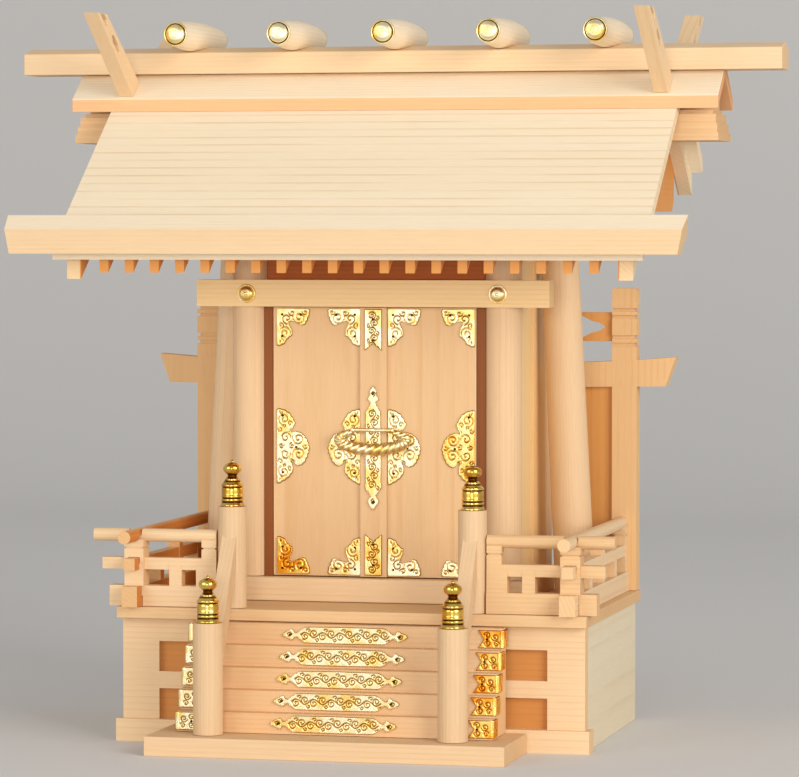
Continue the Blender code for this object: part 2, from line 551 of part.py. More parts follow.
def build_body(wood):
    """Chamber: threshold and floor, round columns, walls, ceiling, jambs and lintel."""
    planed(new_object("threshold", block(-THRESHOLD_HALF, THRESHOLD_HALF, BODY_FRONT,
                                         BODY_FRONT + THRESHOLD_THICK, BODY_BASE, BODY_SILL), wood))
    column_back = BACK_COLUMN_Y + COLUMN_R
    floor_front = BODY_FRONT + THRESHOLD_THICK + GAP
    planed(new_object("body_floor", block(-COLUMN_X - COLUMN_R, COLUMN_X + COLUMN_R, floor_front,
                                          column_back, BODY_BASE, BODY_SILL), wood))
    foot = BODY_SILL + GAP
    front_top = rafter_under(COLUMN_Y - PLATE_DEPTH / 2) - PLATE_HEIGHT - GAP
    back_top = rafter_under(BACK_COLUMN_Y + PLATE_DEPTH / 2) - PLATE_HEIGHT - GAP
    for ending, side in sides():
        for place, y, top in (("front", COLUMN_Y, front_top), ("back", BACK_COLUMN_Y, back_top)):
            column = turn([(COLUMN_R, foot), (COLUMN_R, top - GAP)], COLUMN_SIDES, (side * COLUMN_X, y, 0.0))
            rounded(new_object(place + "_column_" + ending, column, wood))
        groove = block(side * (WALL_OUT - WALL_GROOVE_DEPTH), side * (WALL_OUT + WALL_THICK), WALL_GROOVE_Y,
                       WALL_GROOVE_Y + WALL_GROOVE_WIDTH, BODY_BASE, front_top + WALL_THICK)
        wall = block(side * (WALL_OUT - WALL_THICK), side * WALL_OUT, COLUMN_Y, BACK_COLUMN_Y, foot,
                     front_top - GAP)
        seats = [turn([(COLUMN_R + GAP, BODY_BASE), (COLUMN_R + GAP, RIDGE_TOP)], COLUMN_SIDES,
                      (side * COLUMN_X, y, 0.0)) for y in (COLUMN_Y, BACK_COLUMN_Y)]
        new_object("side_wall_" + ending, carved(wall, [groove] + seats), wood)
        # Jamb strip between the round column and the door leaf
        jamb = block(side * (DOOR_HALF + DOOR_GAP), side * (COLUMN_X - COLUMN_R / 2), DOOR_FRONT,
                     DOOR_FRONT + JAMB_DEPTH, foot, LINTEL_LOW - GAP)
        new_object("door_jamb_" + ending, carved(jamb, seats[:1]), wood)
    reach = COLUMN_X - COLUMN_R * 0.5
    seats = [turn([(COLUMN_R + GAP, BODY_BASE), (COLUMN_R + GAP, RIDGE_TOP)], COLUMN_SIDES,
                  (side * COLUMN_X, BACK_COLUMN_Y, 0.0)) for _, side in sides()]
    wall = block(-reach, reach, BACK_COLUMN_Y - BACK_WALL_THICK / 2, BACK_COLUMN_Y + BACK_WALL_THICK / 2,
                 foot, front_top - GAP)
    new_object("back_wall", carved(wall, seats), wood)
    inner = WALL_OUT - WALL_THICK - GAP
    ceiling = block(-inner, inner, LINTEL_FRONT + LINTEL_DEPTH + GAP,
                    BACK_COLUMN_Y - BACK_WALL_THICK / 2 - GAP, CEILING_Z, CEILING_Z + CEILING_THICK)
    front_seats = [turn([(COLUMN_R + GAP, BODY_BASE), (COLUMN_R + GAP, RIDGE_TOP)], COLUMN_SIDES,
                        (side * COLUMN_X, COLUMN_Y, 0.0)) for _, side in sides()]
    new_object("ceiling", carved(ceiling, front_seats + seats), wood)
    lintel = block(-LINTEL_HALF, LINTEL_HALF, LINTEL_FRONT, LINTEL_FRONT + LINTEL_DEPTH, LINTEL_LOW,
                   LINTEL_LOW + LINTEL_HEIGHT)
    new_object("lintel", carved(lintel, front_seats), wood)

    # Front plate under the rafters, with the frieze board that closes the front above the lintel
    def plate(centre, half):
        a, b = centre - PLATE_DEPTH / 2, centre + PLATE_DEPTH / 2
        low = min(rafter_under(a), rafter_under(b)) - PLATE_HEIGHT
        outline = [(a, low), (b, low), (b, rafter_under(b) - GAP), (a, rafter_under(a) - GAP)]
        return extrude(outline, -half, half, "x")

    frieze = block(-reach, reach, COLUMN_Y - FRIEZE_THICK / 2, COLUMN_Y + FRIEZE_THICK / 2,
                   LINTEL_LOW + LINTEL_HEIGHT + GAP, front_top + PLATE_HEIGHT / 2)
    new_object("front_plate", united(plate(COLUMN_Y, BARGE_IN - GAP - GABLE_CHAMFER),
                                     [carved(frieze, [turn([(COLUMN_R + GAP, BODY_BASE),
                                                            (COLUMN_R + GAP, front_top)], COLUMN_SIDES,
                                                           (side * COLUMN_X, COLUMN_Y, 0.0))
                                                      for _, side in sides()])]), wood)
    new_object("back_plate", plate(BACK_COLUMN_Y, BACK_PLATE_HALF), wood)


def build_doors(wood, brass):
    """Two plank doors hinged at their outer edges, with the lock across the meeting batten."""
    low = BODY_SILL + GAP + DOOR_GAP
    high = LINTEL_LOW - DOOR_GAP
    for ending, side in sides():
        hinge = bpy.data.objects.new("hinge_" + ending, None)
        hinge.location = (side * DOOR_HALF, DOOR_FRONT, 0.0)
        bpy.context.scene.collection.objects.link(hinge)
        leaf = block(side * DOOR_HALF, side * DOOR_GAP / 2, DOOR_FRONT, DOOR_FRONT + DOOR_THICK, low, high)
        if side < 0:
            bite = GAP
            batten_front = DOOR_FRONT - BATTEN_THICK
            batten = block(-BATTEN_HALF, -DOOR_GAP / 2, batten_front, DOOR_FRONT + bite, low, high)
            cover = block(-BATTEN_HALF / 2, BATTEN_HALF, batten_front, DOOR_FRONT - GAP, low, high)
            leaf = united(leaf, [batten, cover])
        door = new_object("door_" + ending, leaf, wood)
        door.parent = hinge
        door.matrix_parent_inverse = Matrix.Translation(-hinge.location)
        if side < 0:
            lock = new_object("door_lock", lock_mesh(), brass)
            lock.parent = hinge
            lock.matrix_parent_inverse = Matrix.Translation(-hinge.location)
            rounded(lock)


def lock_mesh():
    """Straight bar with a crescent body hanging below it, flat at the back."""
    y = DOOR_FRONT - BATTEN_THICK - GAP - LOCK_BODY_R
    verts, rings, ring_sides, stations = [], [], 10, 21
    for i in range(stations):
        t = -1.0 + 2.0 * i / (stations - 1)
        x = LOCK_HALF * t
        z = LOCK_BAR_Z - LOCK_DROP * (1.0 - t * t)
        radius = LOCK_BODY_R * (0.45 + 0.55 * (1.0 - t * t))
        lean = math.atan2(2.0 * LOCK_DROP * t / LOCK_HALF, 1.0)
        start = len(verts)
        for k in range(ring_sides):
            angle = 2.0 * math.pi * k / ring_sides
            out, up = radius * math.cos(angle), radius * math.sin(angle)
            verts.append((x - up * math.sin(lean), y + out, z + up * math.cos(lean)))
        rings.append(range(start, start + ring_sides))
    faces = [tuple(rings[0]), tuple(rings[-1])]
    for a, b in zip(rings, rings[1:]):
        faces += [(a[k], a[(k + 1) % ring_sides], b[(k + 1) % ring_sides], b[k]) for k in range(ring_sides)]
    crescent = mesh_from(verts, faces)
    along_x = Matrix.Rotation(math.radians(90), 4, "Y")
    bar = turn([(LOCK_BAR_R, 0.0), (LOCK_BAR_R, 2.0 * LOCK_HALF)], 12, (-LOCK_HALF, y, LOCK_BAR_Z), along_x)
    return united(crescent, [bar])


def build_roof(wood):
    """Ridge purlin, leaning ridge columns, gables, roof boards with rafters, and the eave board."""
    purlin_parts = []
    top_half, _, top_reach = PURLIN_STEPS[-1]
    tops = [low * MM for _, low, _ in PURLIN_STEPS[1:]]
    tops.append(roof_under(RIDGE_Y - top_half * MM) - GAP)
    for (half, low, reach), top in zip(PURLIN_STEPS, tops):
        foot = low * MM if low * MM == PURLIN_FOOT_Z else low * MM - GAP
        purlin_parts.append(block(-reach * MM, reach * MM, RIDGE_Y - half * MM, RIDGE_Y + half * MM,
                                  foot, top))
    head = block(-top_reach * MM, top_reach * MM, RIDGE_Y - PURLIN_HEAD_HALF,
                 RIDGE_Y + PURLIN_HEAD_HALF, tops[-1] - GAP,
                 roof_under(RIDGE_Y - PURLIN_HEAD_HALF) - GAP)
    new_object("ridge_purlin", united(purlin_parts[0], purlin_parts[1:] + [head]), wood)

    top = PURLIN_FOOT_Z - GAP
    for ending, side in sides():
        height = top - FLOOR_TOP - GAP
        lean = Matrix.Shear("XY", 4, (-side * RIDGE_COLUMN_LEAN, 0.0))
        column = turn([(RIDGE_COLUMN_FOOT_R, 0.0), (RIDGE_COLUMN_HEAD_R, height)], COLUMN_SIDES,
                      (side * RIDGE_COLUMN_FOOT_X, RIDGE_COLUMN_Y, FLOOR_TOP + GAP), lean)
        rounded(new_object("ridge_column_" + ending, column, wood))

    inner_front = RIDGE_Y - PURLIN_FOOT_HALF - GAP
    inner_back = RIDGE_Y + PURLIN_FOOT_HALF + GAP
    for ending, side in sides():
        arms = []
        for tip, inner, deep in ((RAFTER_TIP_Y, inner_front, BARGE_DEEP),
                                 (BARGE_TAIL_Y, inner_back, BARGE_TAIL_DEEP)):
            arm = [(tip, roof_under(tip) - GAP), (inner, roof_under(inner) - GAP),
                   (inner, roof_under(inner) - deep), (tip, roof_under(tip) - deep)]
            arms.append(extrude(arm, side * BARGE_IN, side * (BARGE_IN + BARGE_THICK), "x"))
        edge = roof_under(RIDGE_Y + GABLE_HALF) - BARGE_DEEP / 2
        shoulder = roof_under(inner_back) - GAP
        front, back = RIDGE_Y - GABLE_HALF, RIDGE_Y + GABLE_HALF
        corner = GABLE_LOW_Z + GABLE_CHAMFER
        plate = [(front, corner), (front + GABLE_CHAMFER, GABLE_LOW_Z), (back - GABLE_CHAMFER, GABLE_LOW_Z),
                 (back, corner), (back, edge), (inner_back, shoulder), (inner_back, PURLIN_FOOT_Z - GAP),
                 (inner_front, PURLIN_FOOT_Z - GAP), (inner_front, shoulder), (front, edge)]
        gable = extrude(plate, side * GABLE_IN, side * (BARGE_IN + GAP), "x")
        new_object("gable_" + ending, united(gable, arms), wood)

    def board(foot_y):
        """One roof board in section, from the ridge mitre to an upright cut at its foot."""
        ridge = RIDGE_Y + (GAP / 2 if foot_y > RIDGE_Y else -GAP / 2)
        return [(ridge, roof_top(ridge)), (ridge, roof_under(ridge)), (foot_y, roof_under(foot_y)),
                (foot_y, roof_top(foot_y))]

    def rafters(tip_y, ridge_y):
        pieces = []
        bite = GAP
        for k in range(RAFTERS):
            x = -RAFTER_FIRST_X + 2.0 * RAFTER_FIRST_X * k / (RAFTERS - 1)
            section = [(tip_y, roof_under(tip_y) + bite), (ridge_y, roof_under(ridge_y) + bite),
                       (ridge_y, rafter_under(ridge_y)), (tip_y, rafter_under(tip_y))]
            pieces.append(extrude(section, x - RAFTER_WIDTH / 2, x + RAFTER_WIDTH / 2, "x"))
        return pieces

    tail_tip = ROOF_TAIL_Y - RAFTER_TAIL_SETBACK
    for name, foot_y, tip_y, ridge_y in (("roof_front", ROOF_FOOT_Y, RAFTER_TIP_Y, inner_front),
                                         ("roof_back", ROOF_TAIL_Y, tail_tip, inner_back)):
        slab = extrude(board(foot_y), -ROOF_HALF, ROOF_HALF, "x")
        new_object(name, united(slab, rafters(tip_y, ridge_y)), wood)

    # Eave board: a thick plank on the foot of the slope, notched over the roof board
    run = EAVE_TOP_WIDTH * math.cos(PITCH)
    back_y = EAVE_FRONT_Y + run
    back_z = EAVE_TOP_Z + run * SLOPE
    seat_y = back_y + (back_z - roof_top(back_y)) * math.sin(PITCH) * math.cos(PITCH)
    foot_y = ROOF_FOOT_Y - GAP
    outline = [(EAVE_FRONT_Y, EAVE_TOP_Z), (back_y, back_z), (seat_y, roof_top(seat_y) + GAP),
               (foot_y, roof_top(foot_y) + GAP), (foot_y, EAVE_LOW_Z), (EAVE_FRONT_Y, EAVE_LOW_Z)]
    plank = extrude(outline, -EAVE_HALF, EAVE_HALF, "x")
    cheeks = []
    for _, side in sides():
        wedge = [(side * EAVE_HALF, back_z + GAP), (side * (EAVE_HALF - EAVE_SLANT), EAVE_LOW_Z - GAP),
                 (side * (EAVE_HALF + EAVE_SLANT), EAVE_LOW_Z - GAP),
                 (side * (EAVE_HALF + EAVE_SLANT), back_z + GAP)]
        cheeks.append(extrude(wedge, EAVE_FRONT_Y - EAVE_SLANT, seat_y + EAVE_SLANT, "y"))
    new_object("eave_board", carved(plank, cheeks), wood)


def cap_top(y):
    """Height of the ridge cap's upper face at depth y."""
    edge = roof_top(CAP_EDGE_Y) + GAP + CAP_THICK
    return edge + SLOPE * ((RIDGE_Y - CAP_EDGE_Y) - abs(y - RIDGE_Y))


def build_ridge(wood):
    """Ridge cap, ridge beam, barrel logs across it and the crossed boards at its ends."""
    flat_z = BEAM_LOW - GAP
    flat_half = (cap_top(RIDGE_Y) - flat_z) / SLOPE
    far = 2 * RIDGE_Y - CAP_EDGE_Y
    under = roof_top(CAP_EDGE_Y) + GAP
    outline = [(CAP_EDGE_Y, cap_top(CAP_EDGE_Y)), (RIDGE_Y - flat_half, flat_z),
               (RIDGE_Y + flat_half, flat_z), (far, cap_top(far)), (far, under),
               (RIDGE_Y, RIDGE_TOP + GAP), (CAP_EDGE_Y, under)]
    planed(new_object("ridge_cap", extrude(outline, -CAP_HALF, CAP_HALF, "x"), wood))

    front, back = RIDGE_Y - BEAM_DEPTH / 2, RIDGE_Y + BEAM_DEPTH / 2
    side_top = BEAM_LOW + BEAM_SIDE
    peak = side_top + BEAM_PEAK
    section = [(front, BEAM_LOW), (back, BEAM_LOW), (back, side_top), (RIDGE_Y, peak), (front, side_top)]
    planed(new_object("ridge_beam", extrude(section, -BEAM_HALF, BEAM_HALF, "x"), wood))

    saddle_section = [(front - GAP, BEAM_LOW), (back + GAP, BEAM_LOW), (back + GAP, side_top + GAP),
                      (RIDGE_Y, peak + GAP), (front - GAP, side_top + GAP)]
    along_y = Matrix.Rotation(math.radians(-90), 4, "X")
    rings = 12
    profile = []
    for i in range(rings + 1):
        t = -1.0 + 2.0 * i / rings
        profile.append((LOG_END_R + (LOG_MID_R - LOG_END_R) * (1.0 - t * t), LOG_HALF_LENGTH * t))
    for k in range(LOGS):
        x = (k - (LOGS - 1) / 2) * LOG_PITCH
        log = turn(profile, 24, (x, RIDGE_Y, LOG_Z), along_y)
        saddle = extrude(saddle_section, x - 2 * LOG_MID_R, x + 2 * LOG_MID_R, "x")
        rounded(new_object("katsuogi_%d" % (k + 1), carved(log, [saddle]), wood))

    rise = math.tan(CHIGI_PITCH)
    foot_front = CAP_EDGE_Y + CHIGI_FOOT_SETBACK
    foot_back = front - GAP
    foot_z = cap_top(foot_front) + GAP
    back_z = cap_top(foot_back) + GAP
    for place, tip_z in (("front", CHIGI_TIP_Z), ("back", CHIGI_TIP_Z + CHIGI_BACK_LONGER)):
        tip_front = foot_front - (tip_z - foot_z) / rise
        tip_back = tip_front + CHIGI_TIP_BREADTH / math.sin(CHIGI_PITCH)
        arm = [(foot_front, foot_z), (foot_back, back_z), (tip_back, tip_z), (tip_front, tip_z)]
        tip = Vector(((tip_front + tip_back) / 2, tip_z))
        down = (Vector(((foot_front + foot_back) / 2, (foot_z + back_z) / 2)) - tip).normalized()
        across = Vector((-down.y, down.x))

        def on_arm(distance, half):
            """A point of the arm's side face: distance from the tip, and how far off its middle."""
            return tuple(tip + distance * down + half * across)

        depth, half = CHIGI_NOTCH
        notch = [on_arm(-depth, half), on_arm(depth - half, half), on_arm(depth, 0.0),
                 on_arm(depth - half, -half), on_arm(-depth, -half)]
        first, last, half = CHIGI_SLOT
        slot = [on_arm(first, 0.0), on_arm(first + CHIGI_SLOT_POINT, half),
                on_arm(last - CHIGI_SLOT_POINT, half), on_arm(last, 0.0),
                on_arm(last - CHIGI_SLOT_POINT, -half), on_arm(first + CHIGI_SLOT_POINT, -half)]
        for ending, side in sides():
            def cut_through(outline, clear):
                if place == "back":
                    outline = [(2 * RIDGE_Y - y, z) for y, z in outline]
                inside, outside = CHIGI_IN - clear, CHIGI_IN + CHIGI_THICK + clear
                return extrude(outline, side * inside, side * outside, "x")

            mesh = carved(cut_through(arm, 0.0), [cut_through(notch, GAP), cut_through(slot, GAP)])
            planed(new_object("chigi_" + place + "_" + ending, mesh, wood))
    return 2 * RIDGE_Y - tip_front


def build_screens(wood):
    """Side screens: tall banded post, upswept cross beam, panel and scalloped bracket."""
    y0, y1 = SCREEN_Y, SCREEN_Y + SCREEN_DEPTH
    middle = (y0 + y1) / 2
    inner = COLUMN_X + COLUMN_R + GAP
    for ending, side in sides():
        post_out = SCREEN_POST_IN + SCREEN_POST
        corner = SCREEN_POST_CHAMFER
        post = extrude([(side * SCREEN_POST_IN, FLOOR_TOP + GAP), (side * post_out, FLOOR_TOP + GAP),
                        (side * post_out, SCREEN_TOP - corner), (side * (post_out - corner), SCREEN_TOP),
                        (side * (SCREEN_POST_IN + corner), SCREEN_TOP),
                        (side * SCREEN_POST_IN, SCREEN_TOP - corner)], y0, y1, "y")
        low, high = SCREEN_BEAM_LOW, SCREEN_BEAM_LOW + SCREEN_BEAM_HEIGHT
        beam = [(side * inner, low),
                (side * (SCREEN_BEAM_TIP - SCREEN_BEAM_CUT), low + SCREEN_BEAM_RISE / 2),
                (side * SCREEN_BEAM_TIP, high + SCREEN_BEAM_RISE),
                (side * post_out, high), (side * inner, high - SCREEN_BEAM_SLOPE)]
        panel = block(side * inner, side * (SCREEN_POST_IN + GAP), middle - SCREEN_PANEL / 2,
                      middle + SCREEN_PANEL / 2, FLOOR_TOP + GAP, low + GAP)
        mid_z = (BRACKET_LOW + BRACKET_HIGH) / 2
        rise = (BRACKET_HIGH - BRACKET_LOW) / 2
        arch = list(BRACKET_MOUTH)
        arch += [(deep, -up) for deep, up in arch[-2::-1]]
        tongue = SCREEN_POST_IN - BRACKET_WEB - inner
        mouth = [(side * (inner + deep * tongue), mid_z + up * rise) for deep, up in arch]
        bracket = [(side * (SCREEN_POST_IN + GAP), BRACKET_HIGH), (side * inner, BRACKET_HIGH)] + mouth
        bracket += [(side * inner, BRACKET_LOW), (side * (SCREEN_POST_IN + GAP), BRACKET_LOW)]
        parts = [extrude(beam, y0 - GAP, y1 + GAP, "y"), panel,
                 extrude(bracket, middle - BRACKET_THICK / 2, middle + BRACKET_THICK / 2, "y")]
        screen = united(post, parts)
        bands = []
        for band_low, band_high in SCREEN_BANDS:
            rib_low = ((band_low + band_high) * MM - SCREEN_BAND_RIB) / 2
            for cut_low, cut_high in ((band_low * MM, rib_low), (rib_low + SCREEN_BAND_RIB, band_high * MM)):
                ring = block(side * (SCREEN_POST_IN - SCREEN_POST), side * (post_out + SCREEN_POST),
                             y0 - SCREEN_POST, y1 + SCREEN_POST, cut_low, cut_high)
                core = block(side * (SCREEN_POST_IN - 2 * SCREEN_POST), side * (post_out - SCREEN_BAND_DEPTH),
                             y0 + SCREEN_BAND_DEPTH, y1 - SCREEN_BAND_DEPTH, cut_low - GAP, cut_high + GAP)
                bands.append(carved(ring, [core]))
        new_object("side_screen_" + ending, carved(screen, bands), wood)


def main():
    for thing in list(bpy.data.objects):
        bpy.data.objects.remove(thing)
    wood = wood_material("hinoki", (0.86, 0.66, 0.43), 0.55)
    brass = wood_material("brass", (0.86, 0.62, 0.24), 0.25, 1.0)
    build_base(wood)
    build_stair(wood)
    build_stair_rails(wood, brass)
    build_balustrade(wood)
    build_body(wood)
    build_doors(wood, brass)
    build_roof(wood)
    back_most = build_ridge(wood)
    build_screens(wood)

    # The origin is the middle of the footprint, between the platform and the back chigi tips
    front_most = -SILL_NOSE - GAP - PLATFORM_DEPTH
    root = bpy.data.objects.new("shrine", None)
    bpy.context.scene.collection.objects.link(root)
    for thing in list(bpy.data.objects):
        if thing.parent is None and thing is not root:
            thing.parent = root
    root.location = (0.0, -(front_most + back_most) / 2, 0.0)


main()
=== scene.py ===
# %% [markdown]
# # A household altar in pale cypress with gold fittings
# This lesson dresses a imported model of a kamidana, the small shrine that stands on a shelf at
# home. The joinery comes ready as fixed parts. What is made here is what a carver, a gilder and
# a turner would add: the look of planed hinoki cypress, the embossed gold plates with their
# nails, the turned brass finials, the twisted lock and the caps on the ridge logs.
# Everything is in metres, with the front of the altar towards minus Y.

# %% Tools and the fixed parts
import math

import bmesh
import bpy
import numpy as np
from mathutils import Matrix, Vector


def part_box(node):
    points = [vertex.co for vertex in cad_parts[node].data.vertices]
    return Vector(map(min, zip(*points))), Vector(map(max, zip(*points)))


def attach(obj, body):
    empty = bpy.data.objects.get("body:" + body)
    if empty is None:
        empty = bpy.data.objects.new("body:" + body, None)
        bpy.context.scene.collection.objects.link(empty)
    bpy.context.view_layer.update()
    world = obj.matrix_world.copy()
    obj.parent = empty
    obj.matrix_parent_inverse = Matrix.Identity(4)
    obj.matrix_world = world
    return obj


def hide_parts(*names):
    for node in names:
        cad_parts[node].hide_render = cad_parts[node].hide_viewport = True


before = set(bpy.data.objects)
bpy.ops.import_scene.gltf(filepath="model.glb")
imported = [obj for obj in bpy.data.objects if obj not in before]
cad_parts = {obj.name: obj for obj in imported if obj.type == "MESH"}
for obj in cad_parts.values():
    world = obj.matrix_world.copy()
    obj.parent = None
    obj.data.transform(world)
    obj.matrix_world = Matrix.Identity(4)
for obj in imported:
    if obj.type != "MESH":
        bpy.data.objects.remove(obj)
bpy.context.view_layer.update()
MM = 0.001

# %% [markdown]
# ## The camera
# The picture was taken from the altar's right, a little above its middle, with a long lens: the
# edges that run away from us hardly converge. A long lens far away gives that; the place below
# was worked out from the corners of the steps, the doors and the roof.

# %% Camera
CAMERA_PLACE = (0.60216, -2.50031, 0.32171)
CAMERA_TURN = (90.0 - 2.303, 0.0, 13.31)  # degrees
LENS, SENSOR = 182.2, 36.0

camera_data = bpy.data.cameras.new("camera")
camera_data.lens = LENS
camera_data.sensor_width = SENSOR
camera = bpy.data.objects.new("camera", camera_data)
camera.location = CAMERA_PLACE
camera.rotation_euler = [math.radians(a) for a in CAMERA_TURN]
bpy.context.scene.collection.objects.link(camera)
bpy.context.scene.camera = camera
print("camera", CAMERA_PLACE, "lens", LENS)

# %% [markdown]
# ## Floor and light
# A pale sweep is the studio: a floor that curves up into a backdrop far behind, so no horizon
# cuts the picture. The strong key lamp stands at the front right, because the faces of the
# altar that look right are nearly white and those that look left are tan. A wide soft lamp at
# the left and a plain pale sky fill the shadows without taking them away, and a small lamp
# near the camera lights the gold.


# %% Small helpers for colours, meshes and lamps
def linear(red, green, blue):
    """Turns a colour as seen on a screen into the light that it stands for (sRGB curve)."""
    seen = np.array([red, green, blue])
    light = np.where(seen <= 0.04045, seen / 12.92, ((seen + 0.055) / 1.055) ** 2.4)
    return (*light.tolist(), 1.0)


def area_lamp(name, place, size, power, tint, aim=(0.0, 0.0, 0.2)):
    """A square lamp of that size at a place, turned to look at the aim point."""
    data = bpy.data.lights.new(name, "AREA")
    data.size = size
    data.energy = power
    data.color = tint
    lamp = bpy.data.objects.new(name, data)
    lamp.location = place
    lamp.rotation_mode = "QUATERNION"
    lamp.rotation_quaternion = (Vector(aim) - Vector(place)).to_track_quat("-Z", "Y")
    bpy.context.scene.collection.objects.link(lamp)


def mesh_object(name, points, faces):
    """One mesh object from an array of points and a list of faces."""
    mesh = bpy.data.meshes.new(name)
    mesh.from_pydata(np.asarray(points, float).reshape(-1, 3).tolist(), [], faces)
    made = bpy.data.objects.new(name, mesh)
    bpy.context.scene.collection.objects.link(made)
    return made


# %% The sweep
SWEEP_HALF, SWEEP_FRONT, SWEEP_BACK = 4.0, -4.5, 3.2
SWEEP_BEND, SWEEP_TOP = 1.4, 4.0


def sweep_line(count):
    """The sweep's side view: flat floor, a quarter circle of radius SWEEP_BEND, then a wall."""
    turn = np.linspace(0.0, math.pi / 2, count)
    bend_y = SWEEP_BACK - SWEEP_BEND + SWEEP_BEND * np.sin(turn)
    bend_z = SWEEP_BEND - SWEEP_BEND * np.cos(turn)
    ys = np.concatenate([[SWEEP_FRONT], bend_y, [SWEEP_BACK]])
    zs = np.concatenate([[0.0], bend_z, [SWEEP_TOP]])
    return ys, zs


line_y, line_z = sweep_line(24)
left = np.stack([np.full_like(line_y, -SWEEP_HALF), line_y, line_z], axis=1)
right = left * [-1.0, 1.0, 1.0]
rows = len(line_y)
sweep = mesh_object(
    "studio_sweep",
    np.concatenate([left, right]),
    [(i, rows + i, rows + i + 1, i + 1) for i in range(rows - 1)],
)
sweep.data.polygons.foreach_set("use_smooth", np.ones(rows - 1, bool))
sweep_look = bpy.data.materials.new("studio_pale")
sweep_look.use_nodes = True
sweep_surface = sweep_look.node_tree.nodes["Principled BSDF"]
sweep_surface.inputs["Base Color"].default_value = linear(0.86, 0.855, 0.85)
sweep_surface.inputs["Roughness"].default_value = 0.9
sweep.data.materials.append(sweep_look)
print("sweep", rows, "rows")

# %% The lamps and the sky
LAMPS = {  # place, size in metres, power in watts, tint
    "key": ((2.6, -2.2, 1.1), 1.8, 76.0, (1.0, 0.97, 0.93)),
    "fill": ((-2.0, -2.8, 0.9), 2.0, 30.0, (1.0, 0.95, 0.9)),
    "front": ((0.3, -3.2, 0.35), 0.9, 24.0, (1.0, 0.96, 0.9)),
}
SKY_TINT, SKY_LIGHT = (1.0, 0.99, 0.97, 1.0), 0.45

for name, setting in LAMPS.items():
    area_lamp(name, *setting)
sky = bpy.data.worlds.new("studio_sky")
sky.use_nodes = True
sky.node_tree.nodes["Background"].inputs["Color"].default_value = SKY_TINT
sky.node_tree.nodes["Background"].inputs["Strength"].default_value = SKY_LIGHT
bpy.context.scene.world = sky
bpy.context.scene.view_settings.view_transform = "Standard"
print("lamps", len(LAMPS), "and a sky")

# %% [markdown]
# ## Hinoki
# A board is a slice out of a tree: its lines are where the slice cuts the growth rings. So the
# wood is made as rings round a heart that lies outside the board, and every face of the board
# then shows the right lines, long on its sides and curved on its ends. Real lines also fade
# and come back along a board, so a slow noise weakens them in places. Fine fibres and broad
# clouds lie over them.


# %% Growth rings as a material
RING_GAP = 2.6 * MM
RING_RISE, RING_PEAK = 0.55, 0.92  # shares of the gap where a line starts and is darkest
WAVE_PERIOD = 2 * math.pi / 20  # the Wave texture's own period at scale 1
STRETCH = 0.045  # the pattern is this much slower along the grain
FADE_STRETCH = 0.14  # the places where lines fade are stretched less than the lines
RING_WOBBLE = {"Distortion": 5.0, "Detail": 2.0, "Detail Scale": 0.12}
FIBRES, CLOUDS, FADES = 1500.0, 16.0, 70.0  # noise scales: fine fibres, clouds, faded places
FADE_SPAN, FAINT = (0.38, 0.6), 0.15  # noise from faint to full lines, and the faintest line
FIBRE_SHADE, CLOUD_SHADE = (0.93, 0.91, 0.88, 1.0), (0.95, 0.92, 0.88, 1.0)
FIBRE_SHARE, CLOUD_SHARE = 0.75, 0.8  # how strongly they lie over the lines
END_SHADE, END_SPAN = (0.97, 0.9, 0.8, 1.0), (0.7, 0.9)  # from a board's side to its sawn end
DULL_SPAN, GLOSS = {"low": 0.5, "high": 0.64}, 0.35  # roughness and specular level
FIBRE_RELIEF = {"Strength": 0.12, "Distance": 0.15 * MM}
WHITE = (1.0, 1.0, 1.0, 1.0)


def node(tree, kind, inputs=(), **settings):
    """Adds one shader node, sets its options, and fills or links its inputs by name."""
    made = tree.nodes.new(kind)
    for key, value in settings.items():
        setattr(made, key, value)
    for key, value in dict(inputs).items():
        if isinstance(value, bpy.types.NodeSocket):
            tree.links.new(value, made.inputs[key])
        else:
            made.inputs[key].default_value = value
    return made


def ramp(tree, source, stops):
    """A colour ramp: stops are (place, colour) pairs."""
    made = tree.nodes.new("ShaderNodeValToRGB")
    tree.links.new(source, made.inputs["Fac"])
    band = made.color_ramp
    while len(band.elements) < len(stops):
        band.elements.new(0.5)
    for element, (place, colour) in zip(band.elements, stops):
        element.position = place
        element.color = colour
    return made.outputs["Color"]


def mixed(tree, mode, share, first, second):
    """Mixes two colours in a blend mode; share is a number or a socket."""
    made = tree.nodes.new("ShaderNodeMix")
    made.data_type = "RGBA"
    made.blend_type = mode
    sockets = made.inputs[0], made.inputs[6], made.inputs[7]  # the share and the two colours
    for socket, value in zip(sockets, (share, first, second)):
        if isinstance(value, bpy.types.NodeSocket):
            tree.links.new(value, socket)
        else:
            socket.default_value = value
    return made.outputs[2]


def noise(tree, source, scale, detail=2.0):
    """A soft random pattern from 0 to 1 at that scale."""
    sizes = {"Vector": source, "Scale": scale, "Detail": detail}
    return node(tree, "ShaderNodeTexNoise", sizes).outputs["Fac"]


def spread(tree, value, start=0.0, end=1.0, low=0.0, high=1.0):
    """Maps the span from start to end onto low to high, and holds the value beyond it."""
    sizes = {"Value": value, "From Min": start, "From Max": end, "To Min": low, "To Max": high}
    return node(tree, "ShaderNodeMapRange", sizes).outputs[0]


# %% The hinoki recipe
def drawn_out(tree, source, along, stretch):
    """Slows a pattern down along one axis, so that it is drawn out along the grain."""
    squeeze = [stretch if axis == along else 1.0 for axis in "XYZ"]
    return node(tree, "ShaderNodeMapping", {"Vector": source, "Scale": squeeze}).outputs[0]


